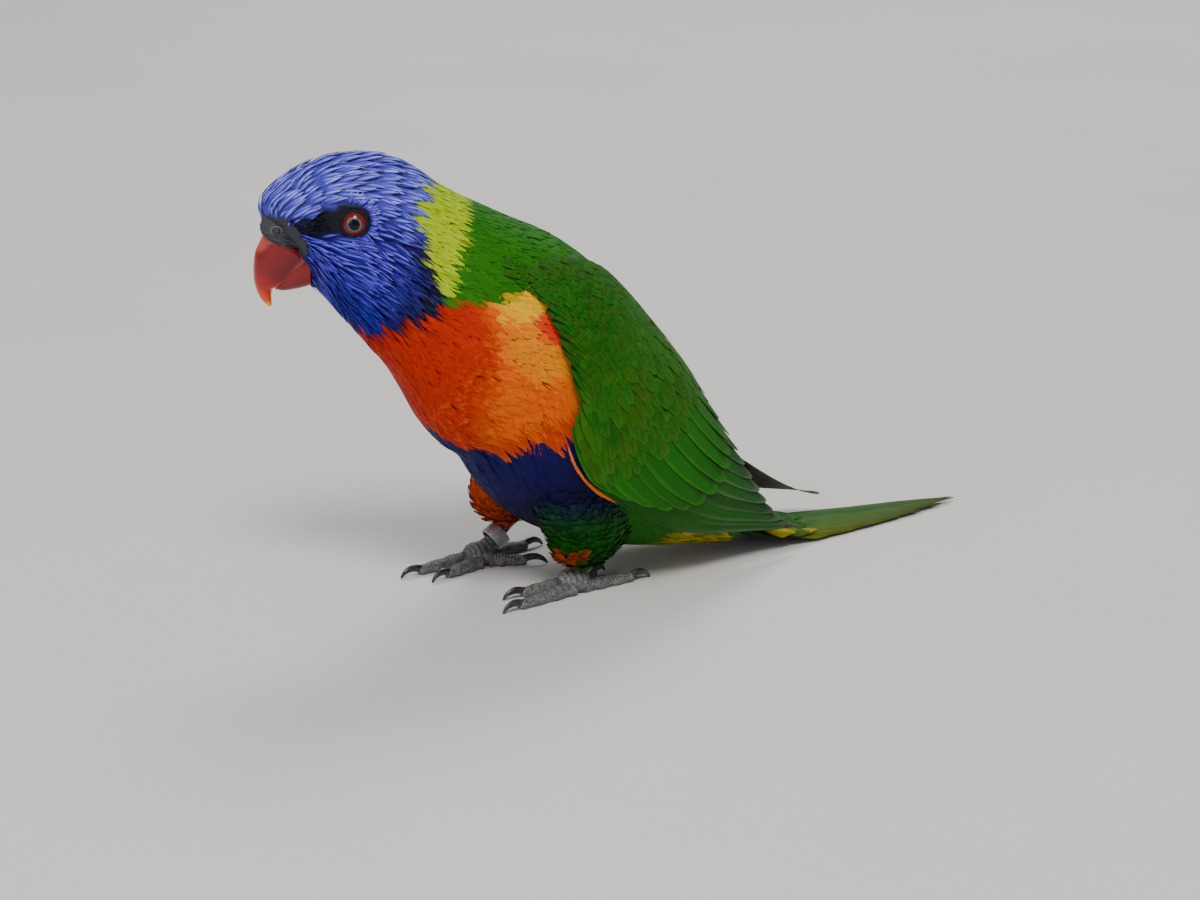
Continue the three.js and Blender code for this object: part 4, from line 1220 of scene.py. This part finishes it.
def makeTail():
    # twelve graded feathers, the middle pair longest and on top, over a closed root, with short coverts at
    # their roots
    t = np.linspace(0, 4.4, 40)[:, None]
    angle = np.arange(36)[None, :] / 36 * 2 * np.pi
    row = through(tailRows, t)
    z = row[..., 1] + (row[..., 3] * np.cos(angle) + row[..., 4] * (0.5 - np.sin(angle) ** 2)) * 0.72
    across = row[..., 2] * 0.8 * np.sin(angle)
    root = np.stack(np.broadcast_arrays(row[..., 0], across, np.maximum(z, 0.35)), -1)
    points, loops, starts = tube(root)
    piece = makePiece("tail_root", points, loops, starts, skinMaterial, "tail_feathers",
                      colours={"plumage": np.broadcast_to(tailTints["dark"], (len(points), 3))})
    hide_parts("tail")
    pairs = 6
    rank = np.repeat(np.arange(pairs), 2)
    sign = np.tile([-1, 1], pairs)
    tipX = np.interp(rank, [0, 1, 2, 3, 4, 5], [155.5, 149, 140, 130, 119, 108])
    tipY = sign * np.interp(rank, [0, 1, 2, 3, 4, 5], [0.7, 3.0, 5.6, 7.8, 9.8, 11.4])
    rootY = sign * np.interp(rank, [0, 5], [1.2, 8.5])
    roots = np.stack([np.full(len(rank), 66.0), rootY], -1)
    tips = np.stack([tipX, tipY], -1)
    plume = {"rows": 22, "columns": 6, "width": np.interp(rank, [0, 5], [4.2, 3.8]), "rootShare": 0.7,
             "tipShare": 0.12, "round": 0.9, "bow": 0.0, "camber": 0.07, "thick": 0.25, "tilt": 0, "raise": 0,
             "rootDepth": 0.9 + 0.15 * rank, "tipDepth": 0.15 + 0.12 * rank}
    made = layPlumes(tailAt, roots, tips, plume)
    u, v = made["u"], made["v"] * sign[:, None, None]
    outer = soft(rank / (pairs - 1), 0.55, 0.5)[:, None, None] + 0 * u
    web = mix(tailTints["green"], tailTints["yellow"], soft(v, 0.35, 0.6) * (0.25 + 0.4 * outer))
    web = mix(web, tailTints["olive"], soft(u, 0.75, 0.4) * 0.5)
    web = mix(web, tailTints["tip"], soft(u, 0.95, 0.08) * 0.7)
    web = mix(web, tailTints["dark"], soft(-v, 0.55, 0.5) * 0.5)
    beneath = mix(tailTints["yellow"], tailTints["olive"], soft(np.abs(v), 0.4, 0.8))
    plumePiece("tail_plumes", made, web, beneath, ((60, 160), (-16, 16)), featherMaterial["wing"],
               "tail_feathers")
    x, y = scatterRoots(tailAt, (56, 88), (-12.5, 12.5), (3.4, 2.6), 0.0)
    grow = 1 + draw.uniform(-0.15, 0.15, len(x))
    size = {"length": 12 * grow, "width": 2.5 * grow, "lean": draw.normal(0, 0.06, len(x)) + y * 0.004,
            "rootDepth": 0.9, "tipDepth": 0.0}
    coat = layVanes(tailAt, x, y, size, {**bodyVane, "rows": 6})
    base = mix(plumes["rump"], tailTints["green"], soft(x, 74, 16))
    base = mix(base, plumes["vent"], soft(np.abs(y), 10.5, 3) * draw.uniform(0, 0.9, len(x)))
    tone = 0.75 + 0.3 * soft(coat["u"], 0.5, 0.6) + 0 * coat["v"]
    colours = vary(base, 0.12)[:, None, None] * tone[..., None]
    coatPiece("tail_coverts", coat, colours, ((50, 100), (-16, 16)), featherMaterial["body"], "tail_feathers")


makeTail()


# Bill

upperBill = np.array([
    (-76.8, 110.7, -65.6, 106.6, 6.2, 0, 2.3, 0), (-77.8, 111.3, -64.9, 103.6, 6.3, 0, 2.4, 0),
    (-79.5, 108.3, -66.8, 101.5, 5.9, 0, 2.4, 0), (-80.6, 105.6, -69.0, 99.2, 5.6, 0, 2.4, 0),
    (-81.0, 102.7, -71.0, 97.2, 5.1, 0, 2.3, 0), (-81.1, 99.7, -73.3, 95.6, 4.4, 0, 2.2, 0),
    (-80.9, 97.0, -75.3, 94.9, 3.6, 0, 2, 0), (-80.1, 94.0, -75.9, 93.1, 2.7, 0, 2, 0),
    (-78.9, 91.6, -75.9, 91.3, 1.8, 0, 2, 0), (-77.2, 89.6, -75.9, 89.7, 0.8, 0, 2, 0)])
lowerBill = np.array([
    (-63.9, 107.4, -64.2, 96.3, 5.2, 0, 3, 0), (-67.2, 105.6, -67.3, 95.4, 5.2, 0, 3, 0),
    (-70.0, 102.8, -70.2, 94.8, 4.7, 0, 3, 0), (-72.6, 99.6, -72.8, 94.5, 3.6, 0, 3, 0),
    (-74.7, 95.3, -74.7, 94.7, 1.6, 0, 2, 0)])
# pale is the paler horn of the cutting edge and of the lower bill's tip, and also the colour of a painted
# highlight on the upper bill
hornTints = {"base": tint(124, 10, 18), "deep": tint(92, 8, 16), "culmen": tint(190, 16, 6),
             "glow": tint(236, 84, 0), "tip": tint(255, 190, 50), "pale": tint(220, 110, 90)}


def hornFinish():
    # polished horn with growth lines, fine flakes and a clear coat
    f = Finish("redHorn")
    colour = f.node("Attribute", {"attribute_name": "plumage"})
    flakes = f.noise(420, 5, 0.65)
    lines = f.node("TexWave", {"bands_direction": "Z"}, {"Vector": f.place(), "Scale": 260, "Distortion": 6,
                                                       "Detail": 3})
    return f.shade({"Base Color": f.scale(colour, 0.86 + 0.25 * flakes), "Roughness": 0.22 + 0.25 * flakes},
                   {"Coat Roughness": 0.12, "Coat Weight": 0.5, "Specular IOR Level": 0.25},
                   lines * 0.3 + flakes, 0.12, 0.0002)


def makeBill():
    # lofts of the two halves: base red, redder down the front, orange and then yellow to the tip
    hornMaterial = hornFinish()
    for name, rows, ends in (("upper", upperBill, 9), ("lower", lowerBill, 4)):
        at = hoopSurface(rows)
        s = np.linspace(0, ends, 70)[:, None]
        a = np.arange(48)[None, :] / 48 * 2 * np.pi
        s, a = s + 0 * a, a + 0 * s
        points = at(s, a)
        deg = fromBack(a)
        normal = lieOf(at, s, a)[0]
        if name == "upper":
            # a shallow groove beside the cutting edge, and a soft ridge down the middle of the front
            groove = -0.22 * np.exp(-((deg - 128) / 7) ** 2) * soft(s, 1, 1) * (1 - soft(s, 6, 1.5))
            ridge = 0.18 * np.exp(-(deg / 14) ** 2) * soft(s, 0.5, 1)
            points = points + normal * (groove + ridge)[..., None]
            culmen = (1 - soft(deg, 30, 30)) * soft(s, 0.6, 1.5)
            glow = soft(s, 6.6, 2.0) * 0.8 + soft(deg, 140, 30) * soft(s, 4.4, 1) * 0.5
            cuttingEdge = np.exp(-((deg - 136) / 5) ** 2) * (1 - soft(s, 5.5, 1)) * 0.7
            colours = mix(hornTints["base"], hornTints["culmen"], culmen)
            colours = mix(colours, hornTints["deep"], soft(deg, 95, 50) * (1 - soft(s, 5, 2)) * 0.6)
            # painted highlight: a pale sheen on the upper bill near the cere
            colours = mix(colours, hornTints["pale"], blot(s, deg, (1.2, 34), (1.5, 26)) * 0.4)
            colours = mix(colours, hornTints["culmen"], soft(s, 4.6, 2.5) * 0.7)
            colours = mix(colours, hornTints["glow"], glow)
            colours = mix(colours, hornTints["tip"], soft(s, 8.3, 1.2) * 0.9)
            colours = mix(colours, hornTints["pale"], cuttingEdge)
        else:
            colours = mix(hornTints["deep"], hornTints["base"], soft(deg, 60, 60))
            colours = mix(colours, hornTints["pale"], soft(s, 3.4, 0.8) * 0.5)
        points, loops, starts = tube(points)
        piece = makePiece(f"horn_{name}", points, loops, starts, hornMaterial, "red_horn",
                          colours={"plumage": colours.reshape(-1, 3)})
        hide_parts(f"bill_{name}")
    print("bill")


makeBill()


# Nostrils

def plainFinish(name, colour, spread, scale, rough, relief, fixed=None):
    # one base colour mottled by noise, with the same noise as relief
    f = Finish(name)
    grain = f.noise(scale, 4, 0.6)
    return f.shade({"Base Color": f.blend(grain.within(0.3, 0.7), colour, tuple(np.array(colour) * spread)),
                    "Roughness": rough + 0.2 * grain}, fixed, grain, relief, 0.0003)


pitMaterial = plainFinish("nostrilPit", tuple(tint(60, 30, 32)), 0.4, 1500, 0.4, 0.3)
cereMaterial = plainFinish("cereSkin", tuple(tint(92, 96, 102)), 0.55, 1100, 0.5, 0.5)


def makeNostrils():
    # a low ring with a dark pit on each side of the cere
    cereAt = hoopSurface(cereHoops)
    for side, sign in signs.items():
        place = (np.array(0.4), np.array(sign * rad(90)))
        centre = cereAt(*place)
        out = lieOf(cereAt, *place)[0]
        level = np.cross((0, 0, 1), out)
        level /= np.linalg.norm(level)
        upright = np.cross(out, level)
        around = np.linspace(0, 2 * np.pi, 28, endpoint=False)[:, None]
        tubeAngle = np.linspace(0, 2 * np.pi, 10, endpoint=False)[None, :]
        radius = 1.25 + 0.4 * np.cos(tubeAngle)
        ring = (centre + out * (0.05 + 0.26 * np.sin(tubeAngle) + 0 * around)[..., None]
                + level * (1.15 * radius * np.cos(around))[..., None]
                + upright * (0.85 * radius * np.sin(around))[..., None])
        makePiece(f"nostril_rim_{side}", *ringPart(ring), cereMaterial, "red_horn")
        t = np.linspace(0.02, 1, 8)[:, None]
        sunk = 0.12 - 0.5 * (1 - t ** 2) * np.sin(np.pi * t / 2)
        pit = (centre + out * (sunk + 0 * around.T)[..., None]
               + level * (1.3 * t * np.cos(around.T))[..., None]
               + upright * (0.95 * t * np.sin(around.T))[..., None])
        back = centre - out * 1.0 + (pit[::-1] - centre) * 0.9
        makePiece(f"nostril_pit_{side}", *tube(np.concatenate([pit, back])), pitMaterial, "red_horn")


makeNostrils()


# Eyes

def eyeFinish():
    # rings by distance from the axis, which the mesh carries: black pupil, grey ring, red iris with spokes
    f = Finish("wetEye")
    ringMap = f.node("UVMap", {"uv_map": "ringMap"})
    ring = f.split(ringMap)[0]
    spokes = f.node("TexWave", {"wave_type": "BANDS", "bands_direction": "Y"},
                    {"Vector": ringMap, "Scale": 9, "Distortion": 3, "Detail": 3})
    grain = f.noise(1600, 4)
    red = f.blend(spokes.within(0.1, 0.9), tuple(tint(122, 16, 10)), tuple(tint(66, 8, 8)))
    red = f.blend(grain.within(0.45, 0.7) * 0.4, red, tuple(tint(170, 40, 24)))
    grey = f.blend(grain.within(0.3, 0.7), tuple(tint(104, 106, 120)), tuple(tint(50, 52, 64)))
    shown = f.blend(ring.within(eye["pupil"] - 0.08, eye["pupil"] + 0.08), tuple(tint(1, 1, 2)), grey)
    shown = f.blend(ring.within(eye["grey"] - 0.12, eye["grey"] + 0.12), shown, red)
    shown = f.blend(ring.within(eye["iris"] - 0.15, eye["iris"] + 0.15), shown, tuple(tint(20, 14, 16)))
    return f.shade({"Base Color": shown, "Roughness": 0.12 + 0.1 * grain},
                   {"Coat Weight": 0.3, "Coat Roughness": 0.03, "Specular IOR Level": 0.15},
                   spokes, 0.05, 0.0001)


def makeEyes():
    # balls with a slightly bulged front, mapped by distance from the axis and by turn
    material = eyeFinish()
    for side in ("left", "right"):
        centre, out, level, upright = eyeFrame(side)
        polar = np.linspace(0.01, np.pi - 0.01, 48)[:, None]
        around = np.linspace(0, 2 * np.pi, 64, endpoint=False)[None, :]
        bulge = 1 + 0.035 * np.exp(-(polar / 0.55) ** 2)
        radial = eye["radius"] * bulge * np.sin(polar)
        grid = (centre + out * (eye["radius"] * bulge * np.cos(polar) + 0 * around)[..., None]
                + level * (radial * np.cos(around))[..., None]
                + upright * (radial * np.sin(around))[..., None])
        fromAxis = np.where(polar < np.pi / 2, radial, 2 * eye["radius"] - radial)
        ringMap = np.stack(np.broadcast_arrays(fromAxis, 1 - np.abs(around / np.pi - 1)), -1).reshape(-1, 2)
        points, loops, starts = tube(grid)
        piece = makePiece(f"eyeball_{side}", points, loops, starts, material, "eye", {"ringMap": ringMap})
        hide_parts(f"eye_{side}")
    print("eyes")


makeEyes()


# Feet

# name, degrees from straight ahead, length, and how far the toe starts to the side
toes = {
    "left": [("inner_front", 1, 16.5, 2.7), ("outer_front", 12, 23, -2.4), ("outer_hind", 184, 20, -2.2),
             ("inner_hind", 208, 13.5, 2.4)],
    "right": [("inner_front", 17, 15.5, -2.6), ("outer_front", 7, 21, 2.6), ("outer_hind", 190, 20, 2.2),
              ("inner_hind", 158, 13.5, -2.4)],
}


def scaleFinish():
    # grey scales: paler raised plates with darker edges, painted shade in the creases between the scutes on
    # top, small grains on the sides
    f = Finish("scaledSkin")
    crease, top = f.split(f.node("UVMap", {"uv_map": "scuteMap"}))[:2]
    cells = f.node("TexVoronoi", {"feature": "DISTANCE_TO_EDGE"}, {"Vector": f.place(), "Scale": 1300})
    grain = f.noise(700, 4, 0.6)
    plates = cells.within(0.0, 0.12)
    tone = f.blend(grain.within(0.3, 0.7), tuple(tint(98, 96, 98)), tuple(tint(142, 140, 138)))
    tone = f.blend(plates, tuple(tint(62, 60, 64)), tone)
    # painted shade: the creases between the scutes on top darkened almost to black
    tone = f.blend(crease * 0.9, tone, tuple(tint(30, 28, 30)))
    return f.shade({"Base Color": tone, "Roughness": 0.5 + 0.2 * grain}, {"Specular IOR Level": 0.45},
                   plates * (1 - top * 0.6) + grain * 0.4, 0.6, 0.0003)


def clawFinish():
    # dark horn, paler in worn streaks
    f = Finish("darkHorn")
    streaks = f.noise(500, 5, 0.6)
    colour = f.blend(streaks.within(0.4, 0.75), tuple(tint(26, 25, 28)), tuple(tint(74, 72, 74)))
    return f.shade({"Base Color": colour, "Roughness": 0.28 + 0.25 * streaks},
                   {"Coat Weight": 0.3, "Coat Roughness": 0.2}, streaks, 0.15, 0.0002)


def scutes(count, height):
    # plates across the upper side of a tube: each rises to its front edge and drops, and fades to the sole
    def swell(t, angle):
        plate = (t * count) % 1
        upper = np.clip(np.cos(angle), 0, 1) ** 0.5
        pads = 0.05 * np.cos(t * 6 * np.pi) * (1 - upper)
        return 1 + height * (plate - 0.5) * upper * (1 - soft(plate, 0.9, 0.15)) * 2 + pads
    return swell


def scuteMap(rings, sides, count):
    # for each point of a tube: 1 in the creases between plates, where the finish paints shade, and how far it
    # faces up
    t = np.linspace(0, 1, rings)[:, None]
    angle = (np.arange(sides) + 0.5)[None, :] * 2 * np.pi / sides
    plate = (t * count) % 1
    upper = np.clip(np.cos(angle), 0, 1)
    crease = (soft(plate, 0.86, 0.2) + 1 - soft(plate, 0.05, 0.12)) * soft(upper, 0.3, 0.3)
    return np.stack(np.broadcast_arrays(np.clip(crease, 0, 1), upper), -1).reshape(-1, 2)


toeRadius = {"start": 2.3, "end": 1.6}
toeHeight = {"start": 1.9, "end": 1.3}
# along, height, upright radius, level radius
nail = np.array([(0, 1.9, 1.15, 0.95), (3.2, 2.5, 1.1, 0.85), (5.8, 1.8, 0.75, 0.6), (7.4, 0.35, 0.35, 0.3)])


def makeFeet():
    # palm and shank as one piece, then each toe with its pads and its claw, all flat on the floor beneath
    scaleMaterial, clawMaterial = scaleFinish(), clawFinish()
    for side, foot in feet.items():
        x, y = foot["x"], foot["y"]
        palm = np.array([(x - 5, y, 3.0, 1.6, 2.0), (x - 3, y, 3.0, 3.4, 4.0), (x, y, 3.2, 3.8, 4.6),
                         (x + 3, y, 3.0, 3.4, 4.0), (x + 5, y, 3.0, 1.6, 2.0)], float)
        shank = np.array([(x + 0.5, y, 4.5, 2.4, 2.4), (x + 6, y, 8.4, 1.8, 1.8),
                          (x + 12, y, 13.6, 2.2, 2.2)], float)
        parts, maps = [], []
        for rows, rings, count in ((palm, 40, 7), (shank, 60, 9)):
            grid = limbGrid(rows, rings, 32, scutes(count, 0.05))
            grid[..., 2] = np.maximum(grid[..., 2], 0)
            parts.append(tube(grid))
            maps.append(scuteMap(rings, 32, count))
        piece = makePiece(f"scaled_foot_{side}", *joinParts(parts), scaleMaterial, "scaled_skin",
                          {"scuteMap": np.concatenate(maps)})
        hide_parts(f"foot_{side}")
        for name, angle, length, offset in toes[side]:
            ahead = np.array([-np.cos(rad(angle)), -np.sin(rad(angle)), 0])
            start = np.array([x, y + offset, 0])
            step = np.arange(7) / 6
            radius = toeRadius["start"] + (toeRadius["end"] - toeRadius["start"]) * step
            radius = radius * np.where(np.arange(7) % 2, 0.93, 1.05)
            reach = 2 + (length - 2) * step
            rows = np.column_stack([start + ahead * reach[:, None], radius, radius])
            rows[:, 2] = toeHeight["start"] + (toeHeight["end"] - toeHeight["start"]) * step
            count = int(length * 0.9)
            grid = limbGrid(rows, 90, 24, scutes(count, 0.09))
            # both ends close roundly
            middle = grid.mean(axis=1, keepdims=True)
            t = np.linspace(0, 1, 90)[:, None, None]
            closing = np.sqrt(np.clip(1 - np.clip((t - 0.93) / 0.07, 0, 0.98) ** 2, 0, 1))
            grid = middle + (grid - middle) * closing
            grid[..., 2] = np.maximum(grid[..., 2], 0)
            toe = makePiece(f"scaled_toe_{side}_{name}", *tube(grid), scaleMaterial, "scaled_skin",
                            {"scuteMap": scuteMap(90, 24, count)})
            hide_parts(f"toe_{side}_{name}")
            rows = np.column_stack([start + ahead * (length - 1.2 + nail[:, :1]), nail[:, 2:]])
            rows[:, 2] = nail[:, 1]
            grid = limbGrid(rows, 40, 20)
            grid[..., 2] = np.maximum(grid[..., 2], 0)
            claw = makePiece(f"horn_claw_{side}_{name}", *tube(grid), clawMaterial, "dark_horn")
            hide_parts(f"claw_{side}_{name}")
    print("feet")


makeFeet()


# Leg ring

ringSizes = {"inner": 3.3, "outer": 3.9, "width": 4.5, "corner": 0.2, "lean": 57, "ahead": 5.9, "height": 8.1}


def metalFinish():
    # dull worn metal with fine scratches round the ring
    f = Finish("plainMetal")
    scratches = f.noise(2600, 6, 0.7)
    colour = f.blend(scratches.within(0.3, 0.7), tuple(tint(150, 152, 156)), tuple(tint(206, 208, 210)))
    return f.shade({"Base Color": colour, "Roughness": 0.28 + 0.3 * scratches}, {"Metallic": 1.0},
                   scratches, 0.15, 0.0001)


def makeRing():
    # a band turned round its axis from a rounded rectangle, leaning along the shank
    inner, outer, half = ringSizes["inner"], ringSizes["outer"], ringSizes["width"] / 2
    corner = ringSizes["corner"]
    corners = []
    for middle, height, start in ((outer - corner, half - corner, 0), (inner + corner, half - corner, 90),
                                  (inner + corner, corner - half, 180), (outer - corner, corner - half, 270)):
        turn = rad(start + np.linspace(0, 90, 6))
        corners.append(np.column_stack([middle + corner * np.cos(turn), height + corner * np.sin(turn)]))
    profile = np.concatenate(corners)
    around = np.linspace(0, 2 * np.pi, 72, endpoint=False)[:, None]
    across, along = profile[None, :, 0], profile[None, :, 1]
    lean = rad(ringSizes["lean"])
    local = np.stack(np.broadcast_arrays(across * np.cos(around), across * np.sin(around), along), -1)
    turned = np.stack([local[..., 0] * np.cos(lean) + local[..., 2] * np.sin(lean), local[..., 1],
                       -local[..., 0] * np.sin(lean) + local[..., 2] * np.cos(lean)], -1)
    foot = feet["right"]
    turned += (foot["x"] + ringSizes["ahead"], foot["y"], ringSizes["height"])
    piece = makePiece("plain_leg_ring", *ringPart(turned), metalFinish(), "plain_ring", crease=rad(50))
    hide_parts("leg_ring")


makeRing()


# Floor, light and camera

# the photo's view: degrees round and above, millimetres away, millimetres for each pixel at the bird, and the
# bird's origin in the 1200 by 900 picture
viewpoint = {"azimuth": -30, "elevation": 17, "away": 1300, "scale": 0.3, "originX": 524, "originY": 580}


def floorFinish():
    # matt and nearly plain
    f = Finish("paleFloor")
    grain = f.noise(9, 4)
    return f.shade({"Base Color": f.blend(grain, tuple(tint(206, 204, 200)), tuple(tint(216, 214, 210))),
                    "Roughness": 0.75 + 0.1 * grain})


def makeStage():
    # a pale floor that curves up into a backdrop far behind
    reach = np.linspace(-2.5, 2.5, 3)[:, None]
    curve = np.linspace(0, 1, 40)[None, :]
    far = rad(viewpoint["azimuth"])
    run = -1.2 + 4.2 * curve
    rise = 2.4 * np.clip((run - 1.3) / 1.7, 0, 1) ** 2
    x = -np.sin(far) * run + np.cos(far) * reach
    y = np.cos(far) * run + np.sin(far) * reach
    points = np.stack(np.broadcast_arrays(x, y, rise), -1).reshape(-1, 3)
    index = np.arange(len(points)).reshape(3, 40)
    quads = np.stack([index[:-1, :-1], index[1:, :-1], index[1:, 1:], index[:-1, 1:]], -1).reshape(-1, 4)
    mesh = bpy.data.meshes.new("floor")
    mesh.from_pydata(points.tolist(), [], quads.tolist())
    mesh.shade_smooth()
    mesh.materials.append(floorFinish())
    placed("floor", mesh)


lights = {
    "key": {"at": (-0.45, -0.75, 1.35), "size": 0.5, "watts": 18, "colour": (1, 0.98, 0.95)},
    "fill": {"at": (-1.3, -0.4, 0.7), "size": 1.0, "watts": 5, "colour": (0.95, 0.97, 1)},
    "rim": {"at": (0.7, 0.9, 1.2), "size": 0.6, "watts": 12, "colour": (1, 1, 1)},
}


def makeLights():
    # three soft lamps aimed at the bird, in an even pale room
    for name, look in lights.items():
        data = bpy.data.lights.new(name, "AREA")
        data.size = look["size"]
        data.energy = look["watts"]
        data.color = look["colour"]
        lamp = placed(name, data)
        lamp.location = look["at"]
        lamp.rotation_euler = (Vector((0, 0, 0.06)) - Vector(look["at"])).to_track_quat("-Z", "Y").to_euler()
    world = bpy.data.worlds.new("softRoom")
    world.use_nodes = True
    world.node_tree.nodes["Background"].inputs["Color"].default_value = (0.86, 0.9, 0.95, 1)
    world.node_tree.nodes["Background"].inputs["Strength"].default_value = 0.42
    bpy.context.scene.world = world


def makeCamera():
    # a camera at the viewpoint, aimed so that the bird's origin falls where it is in the photo
    az, el = rad(viewpoint["azimuth"]), rad(viewpoint["elevation"])
    back = np.array([np.sin(az) * np.cos(el), -np.cos(az) * np.cos(el), np.sin(el)])
    right = np.array([np.cos(az), np.sin(az), 0])
    up = np.cross(back, right)
    target = (right * (600 - viewpoint["originX"]) + up * (viewpoint["originY"] - 450)) * viewpoint["scale"]
    data = bpy.data.cameras.new("camera")
    data.sensor_width = 36
    data.lens = 36 * viewpoint["away"] / (1200 * viewpoint["scale"])
    data.clip_start = 0.05
    data.clip_end = 20
    camera = placed("camera", data)
    camera.location = (target + back * viewpoint["away"] + rowShift) / 1000
    camera.rotation_euler = Vector(-back).to_track_quat("-Z", "Y").to_euler()
    bpy.context.scene.camera = camera


makeStage()
makeLights()
makeCamera()
bpy.context.view_layer.update()
print("stage, lights and camera")
